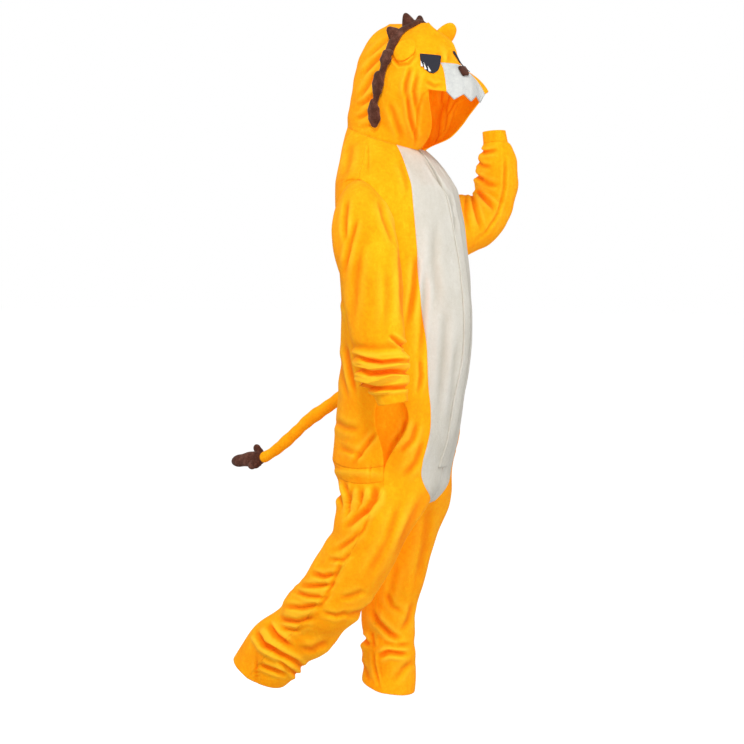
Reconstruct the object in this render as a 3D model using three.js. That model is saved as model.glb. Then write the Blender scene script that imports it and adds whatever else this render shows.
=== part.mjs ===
import * as THREE from 'three';
import { mergeVertices } from 'three/addons/utils/BufferGeometryUtils.js';

// Lion onesie in its worn form. Millimetres, +Z up, the front faces -Y, the right side is at -X.
// The origin is at the base of the neck, where the garment is carried on the shoulders.

// Driving sizes
const wall = 2.6;
const seam = 0.2;
const lift = 0.35;
const placketHalf = 19;
const crotchDown = 925;
const hemDown = 1335;
const armTop = 100;
const armBottom = 300;
const armSpread = 0.15;
const bandTop = 752;
const bandBottom = 786;
const bellyEnd = 862;
const pocketTop = 590;
const hoodTurn = -10;
// The left corner of the hood's opening is drawn outwards and up
const cornerReach = { x: 26, y: -12, z: 20 };

const deg = Math.PI / 180;
const clamp = (value, low, high) => Math.min(high, Math.max(low, value));
const mix = (a, b, t) => a + (b - a) * t;
const ease = (t) => {
  const s = clamp(t, 0, 1);
  return s * s * (3 - 2 * s);
};
const bump = (value, centre, width) => Math.exp(-(((value - centre) / width) ** 2));
const vec = (x, y, z) => new THREE.Vector3(x, y, z);

// Smooth reading of a table: every column is a curve through its rows
function reader(table, key) {
  const names = Object.keys(table[0]).filter((name) => name !== key);
  return (value) => {
    let i = 0;
    while (i < table.length - 2 && value > table[i + 1][key]) i += 1;
    const before = table[Math.max(i - 1, 0)];
    const from = table[i];
    const to = table[i + 1];
    const after = table[Math.min(i + 2, table.length - 1)];
    const span = to[key] - from[key];
    const t = clamp((value - from[key]) / span, 0, 1);
    const out = {};
    for (const name of names) {
      const slopeA = (to[name] - before[name]) * span / (to[key] - before[key]);
      const slopeB = (after[name] - from[name]) * span / (after[key] - from[key]);
      const rise = to[name] - from[name];
      const curve = slopeA * t * (1 - t) ** 2 - slopeB * t * t * (1 - t);
      out[name] = from[name] + rise * t * t * (3 - 2 * t) + curve;
    }
    return out;
  };
}

// Rings of the body from the neck seam to the crotch, shared by both sides.
// y and z place the middle, outer is the half width, front and back are depths,
// bow is the exponent of the front half (under 2 makes a soft ridge), lean tips the ring.
const torsoRings = [
  { down: 0, x: 0, y: 37, z: 12, outer: 103, inner: 110, front: 98, back: 98, bow: 2.0, lean: 19, close: 0, pull: 1 },
  { down: 35, x: 0, y: 28, z: -20, outer: 140, inner: 110, front: 112, back: 110, bow: 2.0, lean: 11, close: 0, pull: 1 },
  { down: 70, x: 0, y: 18, z: -64, outer: 182, inner: 110, front: 124, back: 118, bow: 1.95, lean: 6, close: 0, pull: 1 },
  { down: 100, x: 0, y: 10, z: -98, outer: 202, inner: 110, front: 134, back: 124, bow: 1.9, lean: 3, close: 0, pull: 1 },
  { down: 150, x: 0, y: 3, z: -150, outer: 210, inner: 110, front: 142, back: 130, bow: 1.8, lean: 0, close: 0, pull: 1 },
  { down: 220, x: 0, y: -2, z: -220, outer: 210, inner: 110, front: 152, back: 129, bow: 1.75, lean: 0, close: 0, pull: 1 },
  { down: 330, x: 0, y: -5, z: -330, outer: 203, inner: 110, front: 168, back: 129, bow: 1.7, lean: 0, close: 0, pull: 1 },
  { down: 420, x: 0, y: -5, z: -420, outer: 196, inner: 110, front: 176, back: 129, bow: 1.7, lean: 0, close: 0, pull: 1 },
  { down: 520, x: 0, y: -4, z: -520, outer: 196, inner: 110, front: 173, back: 131, bow: 1.7, lean: 0, close: 0, pull: 1 },
  { down: 620, x: 0, y: 3, z: -620, outer: 198, inner: 110, front: 160, back: 134, bow: 1.75, lean: 0, close: 0, pull: 1 },
  { down: 720, x: 0, y: 10, z: -720, outer: 198, inner: 110, front: 148, back: 136, bow: 1.8, lean: 0, close: 0, pull: 1 },
  { down: 800, x: 0, y: 16, z: -800, outer: 194, inner: 110, front: 130, back: 122, bow: 1.9, lean: 0, close: 0, pull: 1 },
];

// Rings of each leg, from the level where the crotch curve starts down to the hem.
// close runs from 0, open at the middle of the garment, to 1, a closed tube;
// pull draws the open ends to the shared crotch curve.
const rightLegRings = [
  { down: 850, x: 57, y: 14, z: -850, outer: 137, inner: 110, front: 112, back: 110, bow: 2, lean: 4, close: 0.35, pull: 1 },
  { down: 885, x: 96, y: 12, z: -885, outer: 97, inner: 110, front: 106, back: 108, bow: 2, lean: 8, close: 0.68, pull: 1 },
  { down: 925, x: 110, y: 16, z: -922, outer: 85, inner: 109, front: 100, back: 98, bow: 2, lean: 12, close: 1, pull: 1 },
  { down: 980, x: 112, y: 34, z: -975, outer: 83, inner: 104, front: 90, back: 98, bow: 2, lean: 24, close: 1, pull: 0.25 },
  { down: 1040, x: 112, y: 68, z: -1034, outer: 83, inner: 98, front: 84, back: 104, bow: 2, lean: 34, close: 1, pull: 0 },
  { down: 1100, x: 112, y: 110, z: -1092, outer: 83, inner: 93, front: 84, back: 98, bow: 2, lean: 38, close: 1, pull: 0 },
  { down: 1160, x: 112, y: 158, z: -1146, outer: 83, inner: 90, front: 86, back: 94, bow: 2, lean: 40, close: 1, pull: 0 },
  { down: 1220, x: 112, y: 214, z: -1200, outer: 82, inner: 88, front: 86, back: 92, bow: 2, lean: 40, close: 1, pull: 0 },
  { down: 1280, x: 112, y: 278, z: -1256, outer: 80, inner: 84, front: 84, back: 92, bow: 2, lean: 36, close: 1, pull: 0 },
  { down: 1335, x: 112, y: 334, z: -1316, outer: 72, inner: 76, front: 76, back: 82, bow: 2, lean: 28, close: 1, pull: 0 },
];
const leftLegRings = [
  { down: 850, x: 57, y: 20, z: -850, outer: 137, inner: 110, front: 118, back: 104, bow: 2, lean: 0, close: 0.35, pull: 1 },
  { down: 885, x: 96, y: 26, z: -885, outer: 97, inner: 110, front: 116, back: 98, bow: 2, lean: 0, close: 0.68, pull: 1 },
  { down: 925, x: 110, y: 34, z: -922, outer: 85, inner: 109, front: 108, back: 92, bow: 2, lean: 0, close: 1, pull: 1 },
  { down: 980, x: 112, y: 50, z: -985, outer: 83, inner: 104, front: 96, back: 86, bow: 2, lean: 0, close: 1, pull: 0.25 },
  { down: 1040, x: 112, y: 66, z: -1050, outer: 82, inner: 97, front: 86, back: 80, bow: 2, lean: 0, close: 1, pull: 0 },
  { down: 1100, x: 112, y: 78, z: -1115, outer: 79, inner: 90, front: 84, back: 76, bow: 2, lean: 0, close: 1, pull: 0 },
  { down: 1160, x: 112, y: 86, z: -1180, outer: 75, inner: 84, front: 76, back: 74, bow: 2, lean: 0, close: 1, pull: 0 },
  { down: 1220, x: 112, y: 88, z: -1245, outer: 72, inner: 80, front: 78, back: 74, bow: 2, lean: 2, close: 1, pull: 0 },
  { down: 1280, x: 112, y: 86, z: -1310, outer: 74, inner: 80, front: 74, back: 80, bow: 2, lean: 6, close: 1, pull: 0 },
  { down: 1335, x: 112, y: 88, z: -1368, outer: 70, inner: 76, front: 72, back: 74, bow: 2, lean: 14, close: 1, pull: 0 },
];
const ringAt = {
  right: reader([...torsoRings, ...rightLegRings], 'down'),
  left: reader([...torsoRings, ...leftLegRings], 'down'),
};

// The crotch curve, in the middle of the garment: a quarter ellipse from the front and from the back
const crotch = { y: 20, z: -915, front: 134, back: 118, top: -800 };

// Seam places as shares of the half ring, from 0 at the front to 1 at the back: belly is the
// edge of the belly, side is the side seam, and mouth is how far the pocket's lips stand apart.
const seamTable = [
  { down: 0, belly: 0.25, side: 0.48, mouth: 0 },
  { down: 50, belly: 0.225, side: 0.48, mouth: 0 },
  { down: 95, belly: 0.215, side: 0.48, mouth: 0 },
  { down: 165, belly: 0.225, side: 0.49, mouth: 0 },
  { down: 260, belly: 0.235, side: 0.48, mouth: 0 },
  { down: 330, belly: 0.242, side: 0.46, mouth: 0 },
  { down: 425, belly: 0.236, side: 0.43, mouth: 0 },
  { down: 480, belly: 0.222, side: 0.41, mouth: 0 },
  { down: 545, belly: 0.204, side: 0.385, mouth: 0 },
  { down: 590, belly: 0.187, side: 0.365, mouth: 0.01 },
  { down: 620, belly: 0.172, side: 0.352, mouth: 0.07 },
  { down: 655, belly: 0.158, side: 0.345, mouth: 0.085 },
  { down: 695, belly: 0.15, side: 0.335, mouth: 0.06 },
  { down: 720, belly: 0.152, side: 0.334, mouth: 0.025 },
  { down: 745, belly: 0.154, side: 0.337, mouth: 0 },
  { down: 775, belly: 0.147, side: 0.34, mouth: 0 },
  { down: 800, belly: 0.143, side: 0.345, mouth: 0 },
  { down: 825, belly: 0.132, side: 0.37, mouth: 0 },
  { down: 845, belly: 0.085, side: 0.41, mouth: 0 },
  { down: 862, belly: 0.04, side: 0.43, mouth: 0 },
  { down: 925, belly: 0.04, side: 0.47, mouth: 0 },
  { down: 985, belly: 0.04, side: 0.49, mouth: 0 },
  { down: 1335, belly: 0.04, side: 0.49, mouth: 0 },
];
const seamsAt = reader(seamTable, 'down');

// Folds of the body: along is the fold's half length and across its half width in mm,
// turn is its direction in degrees from level, rise is its height (a trough is negative).
const bodyFolds = {
  right: [
    { u: 0.26, down: 370, turn: 78, along: 60, across: 24, rise: -9 },
    { u: 0.2, down: 560, turn: 88, along: 80, across: 22, rise: -8 },
    { u: 0.7, down: 560, turn: 72, along: 120, across: 26, rise: -10 },
    { u: 0.8, down: 390, turn: 75, along: 80, across: 24, rise: -9 },
    { u: 0.62, down: 735, turn: -50, along: 90, across: 26, rise: -9 },
    { u: 0.45, down: 650, turn: 80, along: 70, across: 22, rise: 10 },
    { u: 0.27, down: 650, turn: 80, along: 60, across: 20, rise: 12 },
    { u: 0.52, down: 880, turn: 60, along: 90, across: 24, rise: -14 },
    { u: 0.62, down: 870, turn: 78, along: 70, across: 22, rise: -10 },
    { u: 0.74, down: 860, turn: 98, along: 70, across: 24, rise: -9 },
    { u: 0.86, down: 860, turn: 105, along: 60, across: 24, rise: -8 },
    { u: 0.66, down: 985, turn: 8, along: 120, across: 18, rise: -9 },
    { u: 0.7, down: 1035, turn: -6, along: 110, across: 18, rise: -10 },
    { u: 0.64, down: 1085, turn: 8, along: 130, across: 18, rise: -9 },
    { u: 0.72, down: 1135, turn: -8, along: 120, across: 18, rise: -10 },
    { u: 0.4, down: 1190, turn: 14, along: 180, across: 18, rise: -15 },
    { u: 0.46, down: 1235, turn: -10, along: 200, across: 18, rise: -15 },
    { u: 0.3, down: 1285, turn: 12, along: 130, across: 16, rise: -10 },
    { u: 0.2, down: 960, turn: 30, along: 90, across: 26, rise: -9 },
  ],
  left: [
    { u: 0.28, down: 400, turn: 80, along: 80, across: 24, rise: -9 },
    { u: 0.24, down: 600, turn: 86, along: 90, across: 24, rise: -8 },
    { u: 0.68, down: 520, turn: 74, along: 120, across: 26, rise: -10 },
    { u: 0.82, down: 380, turn: 104, along: 80, across: 24, rise: -8 },
    { u: 0.5, down: 870, turn: 62, along: 80, across: 24, rise: -11 },
    { u: 0.64, down: 865, turn: 80, along: 70, across: 22, rise: -10 },
    { u: 0.78, down: 860, turn: 98, along: 70, across: 24, rise: -9 },
    { u: 0.22, down: 950, turn: 28, along: 90, across: 26, rise: -9 },
    { u: 0.7, down: 1030, turn: 6, along: 110, across: 18, rise: -8 },
    { u: 0.6, down: 1085, turn: -8, along: 120, across: 18, rise: -9 },
    { u: 0.25, down: 1140, turn: 12, along: 150, across: 18, rise: -12 },
    { u: 0.15, down: 1195, turn: -8, along: 200, across: 18, rise: -15 },
    { u: 0.5, down: 1240, turn: 8, along: 220, across: 17, rise: -14 },
    { u: 0.1, down: 1290, turn: -8, along: 160, across: 16, rise: -11 },
  ],
};
const halfRingLength = 520;

function foldRise(folds, u, down, closed) {
  let rise = 0;
  for (const fold of folds) {
    let du = u - fold.u;
    if (closed) du -= Math.round(du);
    const level = du * halfRingLength;
    const drop = down - fold.down;
    const c = Math.cos(fold.turn * deg);
    const s = Math.sin(fold.turn * deg);
    const along = level * c + drop * s;
    const across = drop * c - level * s;
    rise += fold.rise * bump(along, 0, fold.along) * bump(across, 0, fold.across);
  }
  return rise;
}

// The back bulges out over the seat band and is drawn in above and below it
function seatRise(u, down) {
  return 7 * bump(down, 770, 22) * ease((u - 0.36) / 0.12);
}

// Point of one ring. The right side is mirrored to -X by the sign.
function ringPoint(side, ring, u) {
  const reach = 90 + 90 * ring.close;
  const angle = (2 * u - 1) * reach * deg;
  const c = Math.cos(angle);
  const s = Math.sin(angle);
  const power = s < 0 ? 2 / ring.bow : 0.95;
  const across = c >= 0 ? ring.outer * c ** power : ring.inner * c;
  const depth = s < 0 ? -ring.front * (-s) ** power : ring.back * s ** power;
  const x = ring.x + across;
  const y = ring.y + depth * Math.cos(ring.lean * deg);
  const z = ring.z + depth * Math.sin(ring.lean * deg);
  return vec(x, y, z);
}

function plainBodyPoint(side, u, down) {
  const ring = ringAt[side](down);
  ring.close = down < crotchDown ? Math.min(ring.close, 1) : 1;
  const closed = down >= crotchDown;
  const uu = closed ? u - Math.floor(u) : clamp(u, 0, 1);
  const point = ringPoint(side, ring, uu);
  if (ring.pull > 0.001 && down > 800) {
    const quarter = Math.min(ring.close, 1) * 90 * deg;
    const fore = vec(0.01, crotch.y - crotch.front * Math.cos(quarter), 0);
    const aft = vec(0.01, crotch.y + crotch.back * Math.cos(quarter), 0);
    fore.z = crotch.top + (crotch.z - crotch.top) * Math.sin(quarter);
    aft.z = fore.z;
    const nearFront = clamp(1 - uu / 0.24, 0, 1) ** 2 * ring.pull;
    const nearBack = clamp(1 - (1 - uu) / 0.24, 0, 1) ** 2 * ring.pull;
    point.add(fore.sub(ringPoint(side, ring, 0)).multiplyScalar(nearFront));
    point.add(aft.sub(ringPoint(side, ring, 1)).multiplyScalar(nearBack));
  }
  return point;
}

function surfaceNormal(pointAt, u, down, stepU, stepDown) {
  const alongU = pointAt(u + stepU, down).sub(pointAt(u - stepU, down));
  const alongDown = pointAt(u, down + stepDown).sub(pointAt(u, down - stepDown));
  return alongU.cross(alongDown).normalize();
}

// Outward direction on the body; on the middle of the garment it has no sideways part
function bodyNormal(side, pointAt, u, down) {
  const normal = surfaceNormal(pointAt, u, clamp(down, 3, hemDown - 3), 0.012, 3).negate();
  const atMiddle = u < 0.001 || u > 0.999;
  if (atMiddle && Math.abs(down - crotchDown) < 1) normal.set(-0.7, 0, -0.7);
  else if (atMiddle && down < crotchDown) normal.setX(0);
  return normal.normalize();
}

function bodyPoint(side, u, down) {
  const pointAt = (a, b) => plainBodyPoint(side, a, b);
  const point = pointAt(u, down);
  const closed = down >= crotchDown;
  const middle = Math.min(u, 1 - u);
  const fade = closed ? ease((down - crotchDown) / 50) * 0.999 + 0.001 : ease(middle / 0.08);
  const nearHem = ease((hemDown - down) / 25 + 0.3);
  const nearNeck = ease(down / 60);
  const rise = foldRise(bodyFolds[side], u, down, closed) * fade * nearHem * nearNeck + seatRise(u, down);
  if (Math.abs(rise) > 0.01) point.addScaledVector(bodyNormal(side, pointAt, u, down), rise);
  if (down > crotchDown + 1) point.setX(Math.max(point.x, 0.6));
  return point;
}

function mirrored(side, vertex) {
  if (side === 'left') return vertex;
  return { p: vec(-vertex.p.x, vertex.p.y, vertex.p.z), n: vec(-vertex.n.x, vertex.n.y, vertex.n.z) };
}

function bodyVertex(side, u, down) {
  const pointAt = (a, b) => bodyPoint(side, a, b);
  return mirrored(side, { p: bodyPoint(side, u, down), n: bodyNormal(side, pointAt, u, down) });
}

// A closed wall from a grid of vertices: the outer face, the inner face and the cut edges.
// Every edge is drawn back a little, so that neighbouring pieces stay apart at their seam.
function wallGeometry(grid, options = {}) {
  const { keep = () => true, raise = 0, thick = wall, round = false } = options;
  const rows = grid.length;
  const cols = grid[0].length;
  const cellRows = rows - 1;
  const cellCols = round ? cols : cols - 1;
  const wrap = (c) => (round ? (c + cols) % cols : c);
  const kept = (r, c) => {
    const cc = wrap(c);
    if (r < 0 || r >= cellRows || cc < 0 || cc >= cellCols) return false;
    return keep(r, cc);
  };
  const id = new Map();
  const outer = [];
  const inner = [];
  const at = (r, c) => grid[r][wrap(c)];
  // What lies inwards of a cut edge, square to it and along the cloth
  const inwards = new Map();
  const noteEdge = (a, b, opposite) => {
    for (const [r, c] of [a, b]) {
      const { p, n } = at(r, c);
      const way = at(...b).p.clone().sub(at(...a).p);
      const square = way.cross(n).normalize();
      if (square.dot(at(...opposite).p.clone().sub(p)) < 0) square.negate();
      const name = r * cols + wrap(c);
      if (!inwards.has(name)) inwards.set(name, []);
      inwards.get(name).push(square);
    }
  };
  for (let r = 0; r < cellRows; r += 1) {
    for (let c = 0; c < cellCols; c += 1) {
      if (!kept(r, c)) continue;
      if (!kept(r - 1, c)) noteEdge([r, c], [r, c + 1], [r + 1, c]);
      if (!kept(r + 1, c)) noteEdge([r + 1, c], [r + 1, c + 1], [r, c]);
      if (!kept(r, c - 1)) noteEdge([r, c], [r + 1, c], [r, c + 1]);
      if (!kept(r, c + 1)) noteEdge([r, c + 1], [r + 1, c + 1], [r, c]);
    }
  }
  const vertexId = (r, c) => {
    const cc = wrap(c);
    const name = r * cols + cc;
    if (id.has(name)) return id.get(name);
    const { p, n } = grid[r][cc];
    const shift = vec(0, 0, 0);
    const squares = inwards.get(name) ?? [];
    for (const square of squares) shift.add(square);
    if (squares.length > 0) {
      const reach = shift.length() / squares.length;
      shift.normalize().multiplyScalar(seam / clamp(reach, 0.5, 1));
    }
    outer.push(p.clone().add(shift).addScaledVector(n, raise + (raise > 0 ? thick : 0)));
    inner.push(p.clone().add(shift).addScaledVector(n, raise > 0 ? raise : raise - thick));
    id.set(name, outer.length - 1);
    return outer.length - 1;
  };
  const faces = [];
  const quad = (a, b, c, d) => faces.push(a, b, c, a, c, d);
  const cells = [];
  for (let r = 0; r < cellRows; r += 1) {
    for (let c = 0; c < cellCols; c += 1) if (kept(r, c)) cells.push([r, c]);
  }
  for (const [r, c] of cells) [[r, c], [r, c + 1], [r + 1, c + 1], [r + 1, c]].forEach(([a, b]) => vertexId(a, b));
  const count = outer.length;
  for (const [r, c] of cells) {
    const a = vertexId(r, c);
    const b = vertexId(r, c + 1);
    const d = vertexId(r + 1, c + 1);
    const e = vertexId(r + 1, c);
    quad(a, b, d, e);
    quad(a + count, e + count, d + count, b + count);
    if (!kept(r - 1, c)) quad(b, a, a + count, b + count);
    if (!kept(r, c + 1)) quad(d, b, b + count, d + count);
    if (!kept(r + 1, c)) quad(d, d + count, e + count, e);
    if (!kept(r, c - 1)) quad(e, e + count, a + count, a);
  }
  return solidGeometry([...outer, ...inner], faces);
}

// A geometry whose faces point outwards
function solidGeometry(points, faces) {
  let volume = 0;
  for (let i = 0; i < faces.length; i += 3) {
    const [a, b, c] = [points[faces[i]], points[faces[i + 1]], points[faces[i + 2]]];
    volume += a.dot(b.clone().cross(c));
  }
  if (volume < 0) {
    for (let i = 0; i < faces.length; i += 3) [faces[i + 1], faces[i + 2]] = [faces[i + 2], faces[i + 1]];
  }
  const geometry = new THREE.BufferGeometry();
  geometry.setAttribute('position', new THREE.Float32BufferAttribute(points.flatMap((p) => [p.x, p.y, p.z]), 3));
  geometry.setIndex(faces);
  return mergeVertices(geometry, 1e-5);
}

// Cloths and trims
const cloths = {
  orange: { color: 0xf79a12, roughness: 0.9 },
  cream: { color: 0xe4dfd2, roughness: 0.92 },
  pale: { color: 0xe0e2e2, roughness: 0.92 },
  brown: { color: 0x5f3728, roughness: 0.9 },
  slate: { color: 0x32323c, roughness: 0.55 },
};
const group = new THREE.Group();

function addPiece(name, geometry, cloth) {
  const material = new THREE.MeshStandardMaterial({ ...cloths[cloth], metalness: 0 });
  material.side = THREE.DoubleSide;
  const mesh = new THREE.Mesh(geometry, material);
  mesh.name = name;
  group.add(mesh);
}

// Body rows: close together in the armhole's ends, the seat band and the bunched legs
const armRows = 8;
const armholeRows = Array.from({ length: armRows + 1 }, (_, i) => {
  return armTop + (armBottom - armTop) * (1 - Math.cos(Math.PI * i / armRows)) / 2;
});
const evenRows = (from, to, count) => Array.from({ length: count }, (_, i) => from + (to - from) * (i + 1) / count);
const bodyRows = [
  0, 35, ...armholeRows,
  ...evenRows(armBottom, pocketTop, 6), 620, 655, 690, 722, bandTop, bandBottom, 806, 826, 845, bellyEnd, 895, crotchDown,
  ...evenRows(crotchDown, 1160, 8), ...evenRows(1160, hemDown, 10),
];
const rowDip = (u, down) => 30 * bump(down, 775, 75) * Math.sin(Math.PI * clamp(u, 0, 1)) ** 2;

function armGap(down) {
  if (down <= armTop || down >= armBottom) return 0;
  const t = 2 * (down - armTop) / (armBottom - armTop) - 1;
  return armSpread * Math.sqrt(1 - t * t);
}

const placketCols = 1;
const bellyCols = 4;
const frontCols = 4;
const backCols = 7;
const lastFront = bellyCols + frontCols;

function seamU(down) {
  const row = seamsAt(down);
  const open = armGap(down);
  const mouth = Math.max(row.mouth, 0);
  return {
    placket: Math.min(placketHalf / halfRingLength, row.belly * 0.6),
    belly: row.belly,
    front: row.side - open - mouth,
    back: row.side + open + mouth * 0.75,
  };
}

function frontU(down, c) {
  const at = seamU(down);
  if (c === 0) return 0;
  if (c <= bellyCols) return mix(at.placket, at.belly, (c - placketCols) / (bellyCols - placketCols));
  return mix(at.belly, at.front, (c - bellyCols) / frontCols);
}

function bodyGrid(side, cols, uOf) {
  return bodyRows.map((down) => Array.from({ length: cols + 1 }, (_, c) => {
    const u = uOf(down, c);
    return bodyVertex(side, u, down + rowDip(u, down));
  }));
}

const rowOf = (down) => bodyRows.findIndex((value) => Math.abs(value - down) < 0.01);
const sides = ['right', 'left'];
const grids = {};
for (const side of sides) {
  grids[side] = {
    front: bodyGrid(side, lastFront, frontU),
    back: bodyGrid(side, backCols, (down, c) => mix(seamU(down).back, 1, c / backCols)),
  };
}

// Sleeves. run is the way along the sleeve from the armhole, tip turns the ring's plane from upright,
// long and deep are its half sizes. The right arm hangs, the left one is raised with a bent elbow.
const sleeveRings = {
  right: [
    { run: 0, x: 208, y: -5, z: -200, tip: 0, long: 100, deep: 66 },
    { run: 30, x: 233, y: -22, z: -204, tip: 11, long: 96, deep: 74 },
    { run: 60, x: 257, y: -40, z: -228, tip: 29, long: 86, deep: 79 },
    { run: 95, x: 273, y: -58, z: -266, tip: 51, long: 73, deep: 80 },
    { run: 140, x: 279, y: -72, z: -312, tip: 74, long: 66, deep: 78 },
    { run: 190, x: 281, y: -82, z: -364, tip: 88, long: 62, deep: 75 },
    { run: 260, x: 283, y: -89, z: -438, tip: 92, long: 58, deep: 67 },
    { run: 310, x: 280, y: -95, z: -494, tip: 94, long: 60, deep: 66 },
    { run: 360, x: 274, y: -104, z: -545, tip: 95, long: 58, deep: 64 },
    { run: 404, x: 265, y: -117, z: -588, tip: 95, long: 38, deep: 40 },
    { run: 430, x: 262, y: -121, z: -614, tip: 95, long: 35, deep: 36 },
  ],
  left: [
    { run: 0, x: 208, y: -5, z: -200, tip: 0, long: 100, deep: 66 },
    { run: 40, x: 245, y: -16, z: -197, tip: -4, long: 90, deep: 70 },
    { run: 90, x: 302, y: -38, z: -188, tip: -10, long: 78, deep: 70 },
    { run: 140, x: 346, y: -58, z: -172, tip: -26, long: 71, deep: 66 },
    { run: 180, x: 372, y: -68, z: -144, tip: -46, long: 68, deep: 63 },
    { run: 215, x: 387, y: -75, z: -108, tip: -68, long: 63, deep: 61 },
    { run: 250, x: 394, y: -78, z: -68, tip: -84, long: 57, deep: 59 },
    { run: 290, x: 395, y: -80, z: -27, tip: -90, long: 53, deep: 56 },
    { run: 326, x: 391, y: -80, z: 8, tip: -90, long: 43, deep: 46 },
    { run: 348, x: 386, y: -78, z: 26, tip: -90, long: 32, deep: 33 },
    { run: 376, x: 380, y: -76, z: 56, tip: -90, long: 30, deep: 31 },
  ],
};
const sleeveEnd = { right: 404, left: 348 };
const cuffEnd = { right: 430, left: 376 };

// Folds of the sleeves: around is the middle of the fold in degrees, from 0 at the top seam by way
// of the front; spread is its half length round the sleeve, slant moves one end along the sleeve.
const sleeveFolds = {
  right: [
    { run: 60, around: 75, spread: 60, slant: 30, across: 16, rise: -9 },
    { run: 95, around: 250, spread: 60, slant: -26, across: 18, rise: -8 },
    { run: 150, around: 280, spread: 50, slant: 34, across: 18, rise: -8 },
    { run: 210, around: 60, spread: 50, slant: 26, across: 18, rise: -6 },
    { run: 306, around: 20, spread: 200, slant: 8, across: 9, rise: -11 },
    { run: 332, around: 340, spread: 170, slant: -8, across: 9, rise: -12 },
    { run: 357, around: 30, spread: 200, slant: 6, across: 8, rise: -12 },
    { run: 383, around: 350, spread: 200, slant: -5, across: 8, rise: -11 },
    { run: 345, around: 0, spread: 160, slant: 0, across: 9, rise: 7 },
    { run: 371, around: 0, spread: 200, slant: 0, across: 9, rise: 8 },
    { run: 395, around: 0, spread: 220, slant: 0, across: 7, rise: 6 },
  ],
  left: [
    { run: 50, around: 60, spread: 60, slant: 24, across: 16, rise: -8 },
    { run: 100, around: 200, spread: 70, slant: 20, across: 16, rise: -8 },
    { run: 150, around: 70, spread: 70, slant: 10, across: 13, rise: -12 },
    { run: 182, around: 60, spread: 80, slant: -4, across: 12, rise: -13 },
    { run: 214, around: 70, spread: 70, slant: -12, across: 12, rise: -11 },
    { run: 170, around: 290, spread: 80, slant: 8, across: 14, rise: -12 },
    { run: 210, around: 290, spread: 70, slant: -10, across: 12, rise: -10 },
    { run: 270, around: 100, spread: 90, slant: 12, across: 12, rise: -7 },
    { run: 318, around: 180, spread: 200, slant: 5, across: 9, rise: -6 },
  ],
};
const ringSides = 2 * armRows;

function sleeveFrame(reading, run) {
  const ring = reading(run);
  const ahead = reading(run + 3);
  const behind = reading(run - 3);
  const under = vec(-Math.sin(ring.tip * deg), 0, -Math.cos(ring.tip * deg));
  const way = vec(ahead.x - behind.x, ahead.y - behind.y, ahead.z - behind.z).normalize();
  const rear = way.clone().cross(under).normalize();
  if (rear.y < 0) rear.negate();
  return { ring, under, rear, centre: vec(ring.x, ring.y, ring.z) };
}

function sleevePoint(side, reading, k, run) {
  const angle = 2 * Math.PI * k / ringSides;
  const at = sleeveFrame(reading, run);
  let rise = 0;
  for (const fold of sleeveFolds[side]) {
    let turn = angle / deg - fold.around;
    turn -= 360 * Math.round(turn / 360);
    const across = run - fold.run - fold.slant * turn / 90;
    rise += fold.rise * bump(turn, 0, fold.spread) * bump(across, 0, fold.across);
  }
  rise *= ease(run / 40) * ease((sleeveEnd[side] - run) / 12);
  const down = -Math.cos(angle) * (at.ring.long + rise);
  const back = -Math.sin(angle) * (at.ring.deep + rise);
  return at.centre.addScaledVector(at.under, down).addScaledVector(at.rear, back);
}

function armholePoint(side, k) {
  const row = k <= armRows ? k : ringSides - k;
  const down = armholeRows[row];
  const u = k <= armRows ? seamU(down).front : seamU(down).back;
  return bodyPoint(side, u, down + rowDip(u, down));
}

function sleeveGrid(side, runs) {
  const reading = reader(sleeveRings[side], 'run');
  const offsets = Array.from({ length: ringSides }, (_, k) => {
    return armholePoint(side, k).sub(sleevePoint(side, reading, k, 0));
  });
  const pointAt = (k, run) => {
    const kk = ((k % ringSides) + ringSides) % ringSides;
    const low = Math.floor(kk) % ringSides;
    const high = (low + 1) % ringSides;
    const offset = offsets[low].clone().lerp(offsets[high], kk - Math.floor(kk));
    return sleevePoint(side, reading, kk, run).addScaledVector(offset, 1 - ease(run / 70));
  };
  return runs.map((run) => Array.from({ length: ringSides }, (_, k) => {
    const middleRun = clamp(run, 4, cuffEnd[side] - 4);
    const n = surfaceNormal(pointAt, k, middleRun, 0.5, 3).negate();
    const p = pointAt(k, run);
    if (n.dot(p.clone().sub(sleeveFrame(reading, run).centre)) < 0) n.negate();
    return mirrored(side, { p, n });
  }));
}
const sleeveRuns = {
  right: [0, 22, 45, 75, 110, 150, 190, 225, 260, 285, 296, 306, 319, 332, 345, 357, 371, 383, 395, 404],
  left: [0, 25, 50, 75, 100, 125, 150, 166, 182, 198, 214, 232, 252, 275, 300, 318, 335, 348],
};

// At the armhole the sleeve and the body share their directions, so that their walls meet edge to edge
const sleeveGrids = {};
for (const side of sides) {
  sleeveGrids[side] = sleeveGrid(side, sleeveRuns[side]);
  const firstRow = rowOf(armTop);
  for (let k = 0; k < ringSides; k += 1) {
    const row = firstRow + (k <= armRows ? k : ringSides - k);
    const front = grids[side].front[row][lastFront];
    const back = grids[side].back[row][0];
    const body = k <= armRows ? front : back;
    const shared = sleeveGrids[side][0][k].n.clone().add(body.n).normalize();
    sleeveGrids[side][0][k].n = shared;
    body.n = shared;
    if (k === 0 || k === armRows) back.n = shared;
  }
}

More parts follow.
